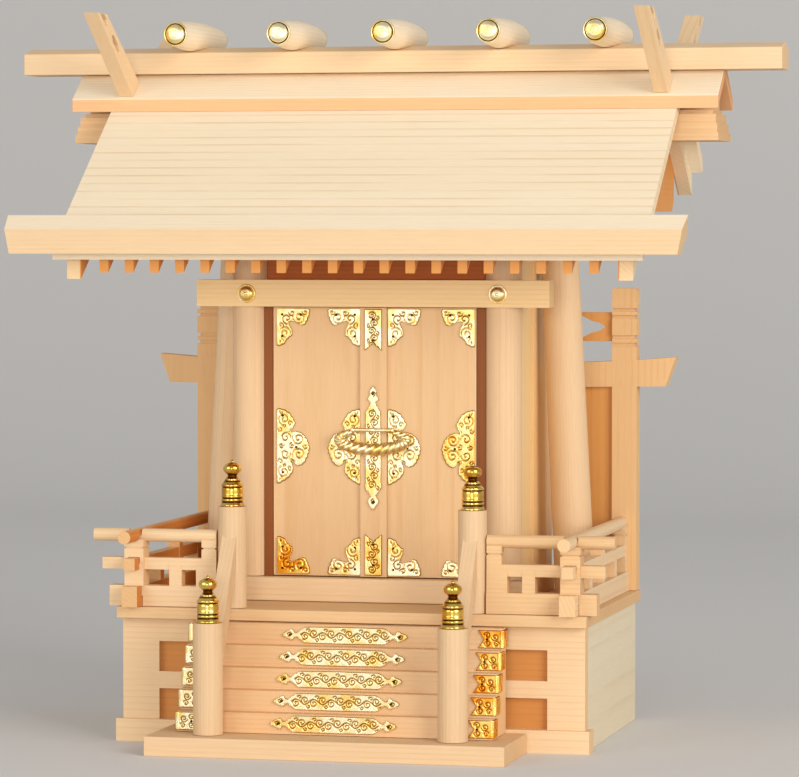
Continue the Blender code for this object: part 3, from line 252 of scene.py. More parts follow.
def paint_light_and_shade(tree, spot, colour, tint, borders):
    """Tints the wood with painted shade or painted light where every border is passed. A border
    is (source, axis, start, end): the share grows from 0 to 1 while the place or facing along
    that axis goes from start to end."""
    share = None
    for source, axis, start, end in borders:
        parts = node(tree, "ShaderNodeSeparateXYZ", {"Vector": spot.outputs[source]})
        passed = spread(tree, parts.outputs[axis], start, end)
        if share is not None:
            both = {0: share, 1: passed}
            passed = node(tree, "ShaderNodeMath", both, operation="MULTIPLY").outputs[0]
        share = passed
    return mixed(tree, "MULTIPLY", share, colour, tint)


def hinoki(name, along, light, line, heart, tilt=0.0, gap=RING_GAP, rise=RING_RISE, light_and_shade=None):
    """Planed cypress. along is the grain's axis, light the wood between rings, line the late
    wood at a ring, heart the place of the tree's centre in metres, tilt a turn of the grain
    round X in radians, and gap the distance between rings. Ring distance is the length from
    the heart across the grain, and a line starts to darken at the share rise of the gap.
    Faces that look along the grain are sawn ends and a little darker. The last argument says
    where a tint of painted shade or painted light lies on the wood."""
    look = bpy.data.materials.new(name)
    look.use_nodes = True
    tree = look.node_tree
    surface = tree.nodes["Principled BSDF"]
    spot = tree.nodes.new("ShaderNodeTexCoord")
    turn = (tilt, 0.0, 0.0)
    place = {"Vector": spot.outputs["Object"], "Rotation": turn, "Location": heart}
    turned = node(tree, "ShaderNodeMapping", place).outputs[0]
    grain = drawn_out(tree, turned, along, STRETCH)
    wave = {"Vector": grain, "Scale": WAVE_PERIOD / gap, **RING_WOBBLE}
    kind = {"wave_type": "RINGS", "rings_direction": along, "wave_profile": "SAW"}
    rings = node(tree, "ShaderNodeTexWave", wave, **kind)
    stops = [(0.0, light), (rise, light), (RING_PEAK, line), (1.0, light)]
    lines = ramp(tree, rings.outputs["Color"], stops)
    fading = noise(tree, drawn_out(tree, turned, along, FADE_STRETCH), FADES)
    lines = mixed(tree, "MIX", spread(tree, fading, *FADE_SPAN, low=FAINT), light, lines)
    fibre = noise(tree, grain, FIBRES, detail=3.0)
    fibres = ramp(tree, fibre, [(0.3, FIBRE_SHADE), (0.7, WHITE)])
    clouds = ramp(tree, noise(tree, grain, CLOUDS), [(0.3, CLOUD_SHADE), (0.7, WHITE)])
    planed = mixed(tree, "MULTIPLY", FIBRE_SHARE, lines, fibres)
    planed = mixed(tree, "MULTIPLY", CLOUD_SHARE, planed, clouds)
    towards = {"Vector": spot.outputs["Normal"], "Rotation": turn}
    facing = node(tree, "ShaderNodeMapping", towards, vector_type="NORMAL")
    parts = node(tree, "ShaderNodeSeparateXYZ", {"Vector": facing.outputs[0]})
    size = node(tree, "ShaderNodeMath", {0: parts.outputs[along]}, operation="ABSOLUTE")
    sawn = mixed(tree, "MULTIPLY", 1.0, planed, END_SHADE)
    colour = mixed(tree, "MIX", spread(tree, size.outputs[0], *END_SPAN), planed, sawn)
    if light_and_shade:
        colour = paint_light_and_shade(tree, spot, colour, *light_and_shade)
    tree.links.new(colour, surface.inputs["Base Color"])
    tree.links.new(spread(tree, fibre, **DULL_SPAN), surface.inputs["Roughness"])
    bump = node(tree, "ShaderNodeBump", {"Height": fibre, **FIBRE_RELIEF})
    tree.links.new(bump.outputs["Normal"], surface.inputs["Normal"])
    surface.inputs["Specular IOR Level"].default_value = GLOSS
    return look


# %% [markdown]
# ## Which board is cut how
# The grain runs along each board, as a joiner would cut it. The roof boards lie with their
# grain along the ridge, posts stand with it upright, and the crossed arms on the ridge have it
# along the arm, so those are turned by the arm's slope. The tones follow the real altar: cream
# on the roof, rose on the rails and the base, honey on the doors. Shade and light are painted
# into some tones: the frieze and the jambs are a dark orange and the side screens an orange
# tone for their shade, the right front and left side balustrades take a darker tone than their
# mates, and the lintel and the side walls are painted lighter. On some parts a border tells
# where painted shade or painted light starts on a face.

# %% Tones: the wood between the rings, then the line of a ring
CREAM = (linear(0.968, 0.905, 0.80), linear(0.955, 0.872, 0.735))
ROOF = (linear(0.968, 0.905, 0.795), linear(0.905, 0.80, 0.645))
BARGE = (linear(0.955, 0.87, 0.725), linear(0.935, 0.83, 0.665))
ROSE = (linear(0.93, 0.81, 0.65), linear(0.905, 0.77, 0.60))
TAN = (linear(0.895, 0.765, 0.605), linear(0.875, 0.73, 0.56))
HONEY = (linear(0.895, 0.75, 0.565), linear(0.87, 0.705, 0.51))
RISER = (linear(0.935, 0.805, 0.64), linear(0.91, 0.765, 0.59))
# painted shade: the side screens are a more orange tone than ROSE, the colour of their shade
SHADED_SCREEN = (linear(0.91, 0.745, 0.535), linear(0.885, 0.705, 0.485))
POST = (linear(0.87, 0.745, 0.59), linear(0.85, 0.71, 0.545))
# painted shade: the frieze under the eaves and the door jambs are a dark orange, the colour of
# their shade
FRIEZE_SHADE = (linear(0.76, 0.42, 0.15), linear(0.70, 0.37, 0.12))
JAMB_SHADE = (linear(0.545, 0.30, 0.10), linear(0.485, 0.26, 0.08))
# painted light: lighter than ROSE, for the lintel and the side walls, which lie in the shade of
# the roof and the ridge columns
WARM_LIT = (linear(0.96, 0.825, 0.605), linear(0.935, 0.785, 0.555))
STRAW = (linear(0.90, 0.845, 0.73), linear(0.88, 0.815, 0.69))

# %% Where painted shade and painted light lie on the wood
PAINTED_SHADE_TINT = linear(0.93, 0.70, 0.43)  # painted shade under the roof, on the gable boards and on the inner faces of rails
PANEL_SHADE_TINT = linear(0.89, 0.70, 0.46)  # painted shade on the base's sunk panels
CAP_SHADE_TINT = linear(0.965, 0.805, 0.675)  # painted shade on the ridge cap's faces that don't look up
EAVE_SHADE_TINT = linear(0.925, 0.86, 0.78)  # painted shade on the eave board's faces that don't look up; its top stays paler
RISER_LIGHT_TINT = linear(0.955, 0.905, 0.85)  # darker on the risers' left part, so that their right part is painted light where the right newel's shadow falls
SCREEN_SHADE_TINT = linear(0.96, 0.845, 0.66)  # painted shade on the side screens' boards, which lie back inside their posts
SHARP = 0.5 * MM  # a border between two woods blurs over this length

DOWNWARDS = ("Normal", "Z", 0.4, 0.1)  # every face but those that look up
FORWARDS = ("Normal", "Y", -0.3, -0.6)  # faces that look to the front
CAP_FRONT_SHADE = (CAP_SHADE_TINT, [DOWNWARDS])
EAVE_FRONT_SHADE = (EAVE_SHADE_TINT, [("Normal", "Z", 0.6, 0.4)])
# painted shade on faces that look right, the inner faces of the left side rails
RAIL_INNER_SHADE = (PAINTED_SHADE_TINT, [("Normal", "X", 0.3, 0.7)])
# painted light: the tint fades out between 30 and 68 mm, so the risers' right part stays paler
RISER_PAINTED_LIGHT = (RISER_LIGHT_TINT, [("Object", "X", 68.0 * MM, 30.0 * MM)])

roof_low, roof_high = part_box("roof_front")
# painted shade: the roof's faces that don't look up, all but its front edge and ends, are tinted
# orange
UNDER_EAVES_SHADE = (
    PAINTED_SHADE_TINT,
    [
        DOWNWARDS,
        ("Object", "Y", roof_low.y, roof_low.y + SHARP),
        ("Object", "X", roof_high.x, roof_high.x - SHARP),
        ("Object", "X", roof_low.x, roof_low.x + SHARP),
    ],
)

PANEL_AHEAD = 8.0 * MM  # the base's panels start within this length before its side boards
PANEL_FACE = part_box("base_side_right")[0].y - PANEL_AHEAD
# painted shade: the front faces of the base's panels, which sit back behind its frame, are tinted
# orange
PANEL_SHADE = (PANEL_SHADE_TINT, [("Object", "Y", PANEL_FACE, PANEL_FACE + SHARP), FORWARDS])

ARM_PROUD = 9.2 * MM  # a roof arm stands this far outside its gable board
GABLE_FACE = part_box("gable_right")[1].x - ARM_PROUD
# painted shade: the gable boards, which sit back inside the roof's arms, are tinted orange
GABLE_BOARD_SHADE = (
    PAINTED_SHADE_TINT,
    [
        ("Object", "X", GABLE_FACE + 2 * SHARP, GABLE_FACE + SHARP),
        ("Object", "X", -GABLE_FACE - 2 * SHARP, -GABLE_FACE - SHARP),
    ],
)

SCREEN_SUNK = 2.5 * MM  # a screen's board lies deeper than this behind its post
SCREEN_POST = 42.0 * MM  # the post and what stands out beyond it
screen_low, screen_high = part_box("side_screen_right")
SCREEN_FACE = screen_low.y + SCREEN_SUNK
SCREEN_INNER = screen_high.x - SCREEN_POST
# painted shade: the screens' boards behind and inside their posts are darker
SCREEN_BOARD_SHADE = (
    SCREEN_SHADE_TINT,
    [
        ("Object", "Y", SCREEN_FACE, SCREEN_FACE + SHARP),
        ("Object", "X", SCREEN_INNER + SHARP, SCREEN_INNER),
        ("Object", "X", -SCREEN_INNER - SHARP, -SCREEN_INNER),
    ],
)
print("borders at", PANEL_FACE, GABLE_FACE, SCREEN_FACE, SCREEN_INNER)

# %% The woods, and the parts that are cut from each
ARM_SLOPE = math.radians(33.6)
ROOF_RINGS = {"gap": 8.2 * MM, "rise": 0.72}  # a slab cut flat has wide rings with thin lines
ROOF_HEART, X_HEART, Z_HEART = (0.0, 0.31, 0.02), (0.0, 0.24, 0.11), (0.07, 0.29, 0.0)
Y_HEART, DOOR_HEART, ARM_HEART = (0.18, 0.0, 0.12), (0.04, 0.33, 0.0), (0.13, 0.0, 0.21)
ROSE_PARTS = ["threshold", "base_back", "ridge_beam", "balustrade_front_left"]
HONEY_PARTS = ["body_floor", "ceiling", "back_plate", "ridge_purlin", "veranda_floor"]
# painted shade: the right front balustrade takes the darker, more orange HONEY where the left one
# has ROSE
HONEY_PARTS += ["balustrade_front"]

WOODS = {  # grain, tones, heart, starts of the parts' names, and what else hinoki is told
    "roof": ("X", ROOF, ROOF_HEART, ["roof_front"], {**ROOF_RINGS, "light_and_shade": UNDER_EAVES_SHADE}),
    "roof_back": ("X", ROOF, ROOF_HEART, ["roof_back"], ROOF_RINGS),
    "cream_y": ("Y", CREAM, Y_HEART, ["katsuogi"], {}),
    "gable": ("Y", BARGE, Y_HEART, ["gable"], {"light_and_shade": GABLE_BOARD_SHADE}),
    "straw_y": ("Y", STRAW, (0.35, 0.0, 0.05), ["base_side"], {}),
    "rose_x": ("X", ROSE, X_HEART, ROSE_PARTS, {}),
    "rose_y": ("Y", ROSE, (0.21, 0.0, 0.05), ["balustrade_side"], {}),
    "rose_z": ("Z", ROSE, Z_HEART, ["ridge_column_left"], {}),
    "warm_z": ("Z", WARM_LIT, Z_HEART, ["side_wall"], {}),
    "warm_x": ("X", WARM_LIT, X_HEART, ["lintel"], {}),
    "tan_x": ("X", TAN, X_HEART, ["stair_platform"], {}),
    "tan_z": ("Z", TAN, Z_HEART, ["front_column", "back_column", "ridge_column_right"], {}),
    "rail": ("Z", POST, (0.45, 0.05, 0.0), ["stair_rail"], {}),
    "cap": ("X", CREAM, X_HEART, ["ridge_cap"], {"light_and_shade": CAP_FRONT_SHADE}),
    "eave": ("X", CREAM, X_HEART, ["eave_board"], {"light_and_shade": EAVE_FRONT_SHADE}),
    "base": ("X", ROSE, X_HEART, ["base_front"], {"light_and_shade": PANEL_SHADE}),
    "honey_x": ("X", HONEY, (0.0, 0.19, 0.08), HONEY_PARTS, {}),
    "riser": ("X", RISER, (0.0, 0.22, 0.16), ["stair"], {"light_and_shade": RISER_PAINTED_LIGHT}),
    "honey_z": ("Z", HONEY, DOOR_HEART, ["door_left", "door_right", "back_wall"], {}),
    "frieze": ("X", FRIEZE_SHADE, (0.0, 0.26, 0.14), ["front_plate"], {}),
    # painted shade: the left side balustrade takes HONEY, darker than the ROSE of the right one,
    # and its faces that look right are darker still
    "shaded_y": ("Y", HONEY, (0.24, 0.0, 0.09), ["balustrade_side_left"], {"light_and_shade": RAIL_INNER_SHADE}),
    "screen": ("Z", SHADED_SCREEN, (0.11, 0.27, 0.0), ["side_screen"], {"light_and_shade": SCREEN_BOARD_SHADE}),
    "jamb": ("Z", JAMB_SHADE, DOOR_HEART, ["door_jamb"], {}),
    "arm_front": ("Y", ROSE, ARM_HEART, ["chigi_front"], {"tilt": ARM_SLOPE}),
    "arm_back": ("Y", ROSE, ARM_HEART, ["chigi_back"], {"tilt": -ARM_SLOPE}),
}
boards, cut_from = {}, {}
for wood, (grain, tones, heart, starts, more) in WOODS.items():
    boards[wood] = hinoki(f"hinoki_{wood}", grain, *tones, heart, **more)
    cut_from.update({start: wood for start in starts})


# %% Give every fixed part its board
def board_of(part):
    """The board whose list holds the longest start of this part's name."""
    starts = [start for start in cut_from if part.startswith(start)]
    return boards[cut_from[max(starts, key=len)] if starts else "rose_x"]


for part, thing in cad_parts.items():
    thing.data.materials.clear()
    thing.data.materials.append(board_of(part))
print("boards of", len(boards), "woods on", len(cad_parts), "parts")

# %% [markdown]
# ## Gold and brass
# The plates are thin gilded brass with scrolls engraved in them. Polishing reaches the raised
# ground but not the lines, so the ground shines and the lines stay dark. Each plate carries its
# own height as an attribute, and the material reads it: dark, dull metal in the lines, a middle
# tone on their sides, and on the ground soft clouds of a paler and a warmer gold.

# %% The gilder's material
TARNISH = 95.0  # noise scale of the clouds in the gold
DULLER = 0.25  # how much rougher the engraved lines are than the ground


def gilding(name, bright, warm, hollow, slope, shine):
    """Metal whose colour goes with the attribute named height: hollow in the engraved lines,
    slope on their sides, and on the ground clouds of bright and warm gold."""
    look = bpy.data.materials.new(name)
    look.use_nodes = True
    tree = look.node_tree
    surface = tree.nodes["Principled BSDF"]
    surface.inputs["Metallic"].default_value = 1.0
    height = node(tree, "ShaderNodeAttribute", attribute_name="height").outputs["Fac"]
    spot = tree.nodes.new("ShaderNodeTexCoord")
    cloud = noise(tree, spot.outputs["Object"], TARNISH)
    tarnish = ramp(tree, cloud, [(0.42, bright), (0.62, warm)])
    relief = ramp(tree, height, [(0.0, hollow), (0.3, slope), (0.65, WHITE)])
    colour = mixed(tree, "MULTIPLY", 1.0, tarnish, relief)
    tree.links.new(colour, surface.inputs["Base Color"])
    dull = spread(tree, height, low=shine + DULLER, high=shine)
    tree.links.new(dull, surface.inputs["Roughness"])
    return look


gold = gilding(
    "gilded_brass",
    linear(0.98, 0.945, 0.80),
    linear(0.95, 0.83, 0.50),
    linear(0.43, 0.32, 0.14),
    linear(0.88, 0.77, 0.52),
    0.3,
)
deep_gold = gilding(
    "deep_gold",
    linear(0.98, 0.84, 0.46),
    linear(0.96, 0.66, 0.18),
    linear(0.44, 0.30, 0.12),
    linear(0.90, 0.74, 0.44),
    0.3,
)
warm_gold = gilding(
    "warm_gold",
    linear(0.97, 0.89, 0.60),
    linear(0.94, 0.76, 0.38),
    linear(0.43, 0.31, 0.13),
    linear(0.88, 0.75, 0.46),
    0.3,
)
brass = gilding(
    "turned_brass",
    linear(0.955, 0.835, 0.46),
    linear(0.875, 0.675, 0.27),
    linear(0.36, 0.24, 0.10),
    linear(0.30, 0.20, 0.09),
    0.16,
)
print("gold and brass")

# %% [markdown]
# ## Pressed plates
# A plate is a height over a flat outline. A grid of points fills the outline, the height is
# worked out at every point, and the edge drops to the wood so that the plate is a closed piece
# of metal. The scrolls are spirals sunk into the raised ground: the height at a point depends
# only on how far it is from the nearest spiral line.

# %% From a grid of heights to a closed plate
PLATE = 0.7 * MM  # metal above the wood where the height is 0
PRESS = 0.75 * MM  # how much higher the rim stands, where the height is 1
GROUND = 0.72  # the height of a plate's flat ground
LINE = 0.46  # half width of an engraved line in millimetres
SINK = 0.05 * MM  # the plate's back lies this far in the wood, so no light shows under it
EDGE_TONE = 0.3  # the height that the material reads on a plate's edge
MERGE, THIN = 1e-7, 1e-8  # points and edges closer or shorter than this are one


def quads(rows, columns, around=False):
    """Faces between neighbours of a grid whose points are counted row by row; around also
    joins the last column to the first."""
    index = np.arange(rows * columns).reshape(rows, columns)
    if around:
        index = np.concatenate([index, index[:, :1]], axis=1)
    corners = [index[:-1, :-1], index[1:, :-1], index[1:, 1:], index[:-1, 1:]]
    return np.stack(corners, axis=-1).reshape(-1, 4)


def metal(made, heights, look, body):
    """Finishes a piece of metal: the heights become the attribute that its material reads,
    doubled points are merged, every face turns outwards, and all but many-sided faces are
    smooth. The piece rides on a body."""
    tint = made.data.attributes.new("height", "FLOAT", "POINT")
    tint.data.foreach_set("value", np.ravel(heights))
    work = bmesh.new()
    work.from_mesh(made.data)
    bmesh.ops.remove_doubles(work, verts=work.verts, dist=MERGE)
    bmesh.ops.dissolve_degenerate(work, edges=work.edges, dist=THIN)
    bmesh.ops.recalc_face_normals(work, faces=work.faces)
    for face in work.faces:
        face.smooth = len(face.verts) <= 4
    work.to_mesh(made.data)
    work.free()
    made.data.materials.append(look)
    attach(made, body)
    return made


def pressed(name, across, up, heights, lay, look, body):
    """A closed plate. across and up are grids of places on the flat plate, heights the pressed
    share from 0 to 1 there, and lay(across, up, out) turns flat places into space. Quads join
    neighbours, the edge drops to the wood, and one many-sided face closes the back."""
    rows, columns = across.shape
    index = np.arange(rows * columns).reshape(rows, columns)
    edge = np.concatenate([index[0, :-1], index[:-1, -1], index[-1, :0:-1], index[:0:-1, 0]])
    top = lay(across, up, PLATE + PRESS * heights).reshape(-1, 3)
    low = lay(across.ravel()[edge], up.ravel()[edge], np.full(len(edge), -SINK))
    ring = rows * columns + np.arange(len(edge))
    skirt = np.stack([edge, ring, np.roll(ring, -1), np.roll(edge, -1)], axis=-1)
    faces = quads(rows, columns).tolist() + skirt.tolist() + [ring.tolist()]
    made = mesh_object(name, np.concatenate([top, low]), faces)
    tones = np.concatenate([heights.ravel(), np.full(len(edge), EDGE_TONE)])
    return metal(made, tones, look, body)


def front(face):
    """A lay for plates on a wall that looks to the front at that depth."""
    return lambda across, up, out: np.stack([across, face - out, up], axis=-1)


# %% Spirals and the height of a scroll
def curl(centre, radius, start, turns, hand, count=60):
    """Points of a spiral: the radius shrinks evenly to a fifth while the angle runs turns."""
    t = np.linspace(0.0, 1.0, count)
    angle = math.radians(start) + hand * 2 * math.pi * turns * t
    reach = radius * (1 - 0.8 * t)
    across, up = centre[0] + reach * np.cos(angle), centre[1] + reach * np.sin(angle)
    return np.stack([across, up], axis=1)


def raised(across, up, lines, width):
    """1 on the nearest line and 0 at width from it: one less the square of the distance share."""
    spots = np.stack([across.ravel(), up.ravel()], axis=1)
    best = np.zeros(len(spots))
    for line in lines:
        gap = np.sqrt(((spots[:, None, :] - line[None, :, :]) ** 2).sum(axis=2)).min(axis=1)
        best = np.maximum(best, 1 - (gap / width) ** 2)
    return best.reshape(across.shape)


def rimmed(share, scroll, band):
    """A ground at height GROUND with the scroll sunk into it, and a raised rim with a groove
    inside it: share runs from 0 inside to 1 at the outline, band is the rim's share."""
    rim = np.clip(1 - np.abs(share - 1 + band / 2) / (band / 2), 0, 1)
    return np.where(share < 1 - band, GROUND * (1 - scroll), rim)


# %% [markdown]
# ## The doors' corner plates
# Each leaf has four corner plates shaped like a cloud: a long lobe along the top or bottom, a
# second lobe down the side, and a bite between them. Seen from the corner the outline is a
# length for every direction, so the plate is a fan of points round its corner.

# %% Corner plates on the doors
door_left_low, door_left_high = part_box("door_left")
door_right_low, door_right_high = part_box("door_right")
DOOR_FACE = door_right_low.y
BATTEN_FACE = door_left_low.y
BATTEN_HALF = door_left_high.x
CORNER_OUTLINE = np.array(
    [
        (0, 21.0), (8, 21.4), (18, 21.0), (27, 20.9), (33, 19.8), (36, 14.0), (40, 12.2),
        (48, 11.2), (53, 13.2), (56, 17.6), (61, 19.6), (67, 19.9), (72, 20.6), (80, 23.2),
        (90, 23.8),
    ]
)
CORNER_CURLS = [
    curl((14.5, 5.6), 4.3, 200, 1.4, -1),
    curl((5.2, 15.5), 4.0, 250, 1.4, 1),
    curl((6.4, 6.2), 3.6, 45, 1.2, 1),
    curl((9.6, 2.6), 2.0, 180, 1.0, -1),
    curl((2.6, 20.6), 1.9, 270, 1.0, 1),
    curl((18.2, 2.2), 1.8, 180, 1.0, -1),
    curl((2.6, 10.4), 1.9, 100, 1.1, -1),
]


# %% A fan of points, and the corner plates
FAN_ROWS = 34  # points from the corner to the outline
CORNER_COLUMNS, FLOWER_COLUMNS = 81, 141  # points round the outline
CUSPS, CUSP = 22, 0.5 * MM  # half waves in half a turn, and how far each stands out
CLOUD_RIM = 0.085  # the rim's share of the way from the corner to the outline


def fan(outline, columns):
    """Directions from the outline's first to its last, and shares from the corner to the
    outline, whose small cusps are the size of a sine wave, less 0.8 of its height."""
    turn = np.linspace(outline[0, 0], outline[-1, 0], columns)
    reach = np.interp(turn, outline[:, 0], outline[:, 1]) * MM
    reach = reach + CUSP * (np.abs(np.sin(CUSPS * np.radians(turn))) - 0.8)
    share = np.linspace(0.0, 1.0, FAN_ROWS)[:, None]
    angle = np.radians(turn)[None, :]
    return share, share * reach * np.cos(angle), share * reach * np.sin(angle)


def cloud_plate(name, outline, curls, columns, corner, way, look, body):
    """A plate on a leaf that opens like a fan from corner = (x, z). way = (1 or -1, 1 or -1)
    says to which side it opens and which way is up on it."""
    share, across, up = fan(outline, columns)
    scroll = raised(across, up, [line * MM for line in curls], LINE * MM)
    heights = rimmed(share + 0 * across, scroll, CLOUD_RIM)
    across, up = corner[0] + way[0] * across, corner[1] + way[1] * up
    return pressed(name, across, up, heights, front(DOOR_FACE), look, body)


EDGE = 1.0 * MM  # plates keep this far from a leaf's edge
HINGE_EDGE = 2.6 * MM  # and this far at the hinges of the left leaf
LEAVES = {  # where plates start at the hinges and at the batten, and the way between them
    "door_left": (door_left_low.x + HINGE_EDGE, -BATTEN_HALF - EDGE / 2, 1),
    "door_right": (door_right_high.x - EDGE, BATTEN_HALF + EDGE / 2, -1),
}
ENDS = {"top": (door_left_high.z - EDGE, -1), "foot": (door_left_low.z + EDGE, 1)}
WORN = "door_left_corner_outer_foot"  # the plate whose gold has turned deepest

plates = []
for body, (outer, inner, side) in LEAVES.items():
    for end, (level, rise) in ENDS.items():
        for word, edge, way in (("outer", outer, side), ("inner", inner, -side)):
            name = f"{body}_corner_{word}_{end}"
            look = deep_gold if name == WORN else gold
            shape = CORNER_OUTLINE, CORNER_CURLS, CORNER_COLUMNS, (edge, level), (way, rise)
            plates.append(cloud_plate(name, *shape, look, body))
print("corner plates", len(plates), "with", sum(len(p.data.polygons) for p in plates), "faces")

# %% [markdown]
# ## Half flowers at mid height
# At the middle of each leaf a half flower of three lobes grows from the outer edge, and another
# from the batten. It is the same fan, opened to a half circle, with its centre on the edge.

# %% Half-flower plates
FLOWER_OUTLINE = np.array(
    [
        (-90, 24.6), (-78, 22.8), (-68, 21.4), (-57, 19.0), (-50, 14.6), (-46, 13.2), (-43, 19.4),
        (-32, 20.8), (-17, 21.0), (-3, 21.2), (12, 19.8), (26, 18.0), (36, 15.6), (43, 12.4),
        (47, 13.6), (50, 18.4), (60, 20.2), (69, 22.2), (80, 23.4), (90, 23.6),
    ]
)
FLOWER_CURLS = [
    curl((4.4, 16.6), 3.8, 250, 1.4, -1),
    curl((4.2, -16.8), 3.8, 110, 1.4, 1),
    curl((13.8, 4.4), 4.0, 160, 1.4, 1),
    curl((14.2, -5.6), 4.2, 200, 1.4, -1),
    curl((5.4, 5.0), 3.4, 0, 1.2, 1),
    curl((5.4, -5.4), 3.4, 0, 1.2, -1),
    curl((9.2, 9.6), 1.8, 60, 1.0, -1),
    curl((9.4, -10.2), 1.8, 300, 1.0, 1),
    curl((18.6, -0.6), 1.7, 180, 1.0, 1),
    curl((2.2, 21.0), 1.5, 270, 1.0, 1),
    curl((2.2, -21.4), 1.5, 90, 1.0, -1),
    curl((9.6, -0.2), 1.9, 90, 1.1, 1),
    curl((2.6, 0.0), 1.7, 0, 1.1, -1),
    curl((2.0, 10.2), 1.6, 180, 1.0, 1),
    curl((2.0, -10.4), 1.6, 180, 1.0, -1),
    curl((8.4, 13.8), 1.6, 20, 1.0, 1),
    curl((8.2, -14.4), 1.6, 340, 1.0, -1),
    curl((17.8, 8.6), 1.5, 120, 1.0, 1),
    curl((18.4, -9.6), 1.5, 240, 1.0, -1),
    curl((4.8, 12.2), 1.2, 200, 1.0, -1),
    curl((4.8, -12.4), 1.2, 160, 1.0, 1),
]
FLOWER_LEVEL = 182.6 * MM

for body, (outer, inner, side) in LEAVES.items():
    for word, edge, way in (("outer", outer, side), ("inner", inner, -side)):
        name = f"{body}_flower_{word}"
        look = warm_gold if name == "door_right_flower_outer" else gold
        shape = FLOWER_OUTLINE, FLOWER_CURLS, FLOWER_COLUMNS
        plates.append(cloud_plate(name, *shape, (edge, FLOWER_LEVEL), (way, 1), look, body))
print("plates so far", len(plates))

# %% [markdown]
# ## Long plates
# The risers of the stair and the batten between the doors carry long plates with a leaf at each
# end. Such a plate is a strip: its half width is a function of the way along it, and the grid
# runs from one side to the other at every station.

# %% Long plates
LONG_GRID = (221, 31)  # points along a long plate and across it
LONG_RIM = 0.55  # width of a long plate's rim in millimetres


def strip(stations, widths, length, columns, rows):
    """A grid along a strip: columns along the length and rows from side to side. The share
    across runs from -1 to 1 and is multiplied by the half width at each station."""
    along = np.linspace(0.0, length, columns)[None, :]
    half = np.interp(along, stations, widths)
    cross = np.linspace(-1.0, 1.0, rows)[:, None]
    return along + 0 * cross, cross * half, np.abs(cross) + 0 * along, half + 0 * cross


RISER_LENGTH = 79.0
RISER_STATIONS = [0, 1.5, 4.0, 6.0, 7.4, 9.4, 12.0, 14.6, 39.5]
RISER_WIDTHS = [0.25, 1.7, 2.4, 3.7, 1.7, 1.5, 3.3, 5.0, 5.3]
RISER_STATIONS += [RISER_LENGTH - s for s in RISER_STATIONS[-2::-1]]
RISER_WIDTHS += RISER_WIDTHS[-2::-1]
BIG_CURL, SMALL_CURL = (0.9, 2.5, 1.35), (2.7, 1.3, 0.9)  # off the stem, radius, turns


def vine(first, last, period, sway):
    """A wavy stem with a big curl in each of its bends and a small one behind it, turning the
    other way each time."""
    (off, radius, turns), (off_small, radius_small, turns_small) = BIG_CURL, SMALL_CURL
    s = np.linspace(first, last, 400)
    lines = [np.stack([s, sway * np.sin(2 * math.pi * (s - first) / period)], axis=1)]
    bends = np.arange(first + period / 4, last, period / 2)
    for count, place in enumerate(bends):
        hand = 1 if count % 2 == 0 else -1
        lines.append(curl((place, -hand * off), radius, 90 * hand, turns, hand))
        centre = place + period / 5, hand * off_small
        lines.append(curl(centre, radius_small, 180, turns_small, -hand))
    return lines


def long_plate(name, stations, widths, length, lines, lay, body):
    """A leaf-ended strip with scrolls along it; all its sizes come in millimetres. The rim is
    LONG_RIM wide, so its share grows where the strip is narrow."""
    along, cross, share, half = strip(stations, widths, length, *LONG_GRID)
    band = np.clip(LONG_RIM / np.maximum(half, 0.1), 0.08, 0.9)
    heights = rimmed(share, raised(along, cross, lines, LINE), band)
    return pressed(name, along * MM, cross * MM, heights, lay, gold, body)


# %% The five plates on the stair's risers
stair_low, stair_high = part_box("stair")
STEPS, RUN = 5, 7.3 * MM
RISER_LINES = vine(11.5, RISER_LENGTH - 11.5, 11.2, 1.5) + [
    curl((4.2, 0.0), 1.6, 0, 1.2, 1),
    curl((RISER_LENGTH - 4.2, 0.0), 1.6, 180, 1.2, 1),
]


def riser(step):
    """Depth of a riser's face and height of its middle; the topmost step is number 0."""
    face = stair_low.y + RUN * (STEPS - 1 - step)
    return face, stair_high.z - (step + 0.5) * (stair_high.z - stair_low.z) / STEPS


def along_riser(face, level):
    """A lay for a strip that lies along a riser, with its middle at the stair's middle."""
    half = RISER_LENGTH / 2 * MM
    return lambda along, up, out: np.stack([along - half, face - out, level + up], axis=-1)


for step in range(STEPS):
    shape = RISER_STATIONS, RISER_WIDTHS, RISER_LENGTH, RISER_LINES
    lay = along_riser(*riser(step))
    plates.append(long_plate(f"riser_plate_{step + 1}", *shape, lay, "shrine"))
print("riser plates on", STEPS, "steps")

# %% The three plates on the batten
LONG_TOP, LONG_LENGTH = 221.0, 78.4
LONG_STATIONS = [0, 3.5, 5.5, 8.4, 10.6, 13.2, 16.4, 40, 61.5, 64, 67.4, 69.6, 73.0, 76, 78.4]
LONG_WIDTHS = [0.2, 2.3, 1.9, 3.6, 1.5, 2.7, 4.7, 5.0, 5.0, 5.6, 3.2, 1.7, 3.7, 2.0, 0.2]
LONG_LINES = vine(15.0, 64.0, 11.2, 1.5) + [
    curl((5.0, 0.0), 1.5, 0, 1.2, 1),
    curl((73.2, 0.0), 1.6, 180, 1.2, 1),
]
TAIL_LENGTH, TAIL_HALF, TAIL_BITE = 26.0, 5.4, 4.4
TAIL_SHAPE = (31, 71, 6)  # points across and along, and how blunt the ends are
TAIL_RIM = 0.12  # the rim's share of the half width


def upright(start, way=1):
    """A lay for a strip on the batten that runs down from that height, or up if way is -1."""
    face = BATTEN_FACE
    return lambda run, cross, out: np.stack([cross, face - out, start - way * run], axis=-1)


shape = LONG_STATIONS, LONG_WIDTHS, LONG_LENGTH, LONG_LINES
plates.append(long_plate("batten_plate_middle", *shape, upright(LONG_TOP * MM), "door_left"))


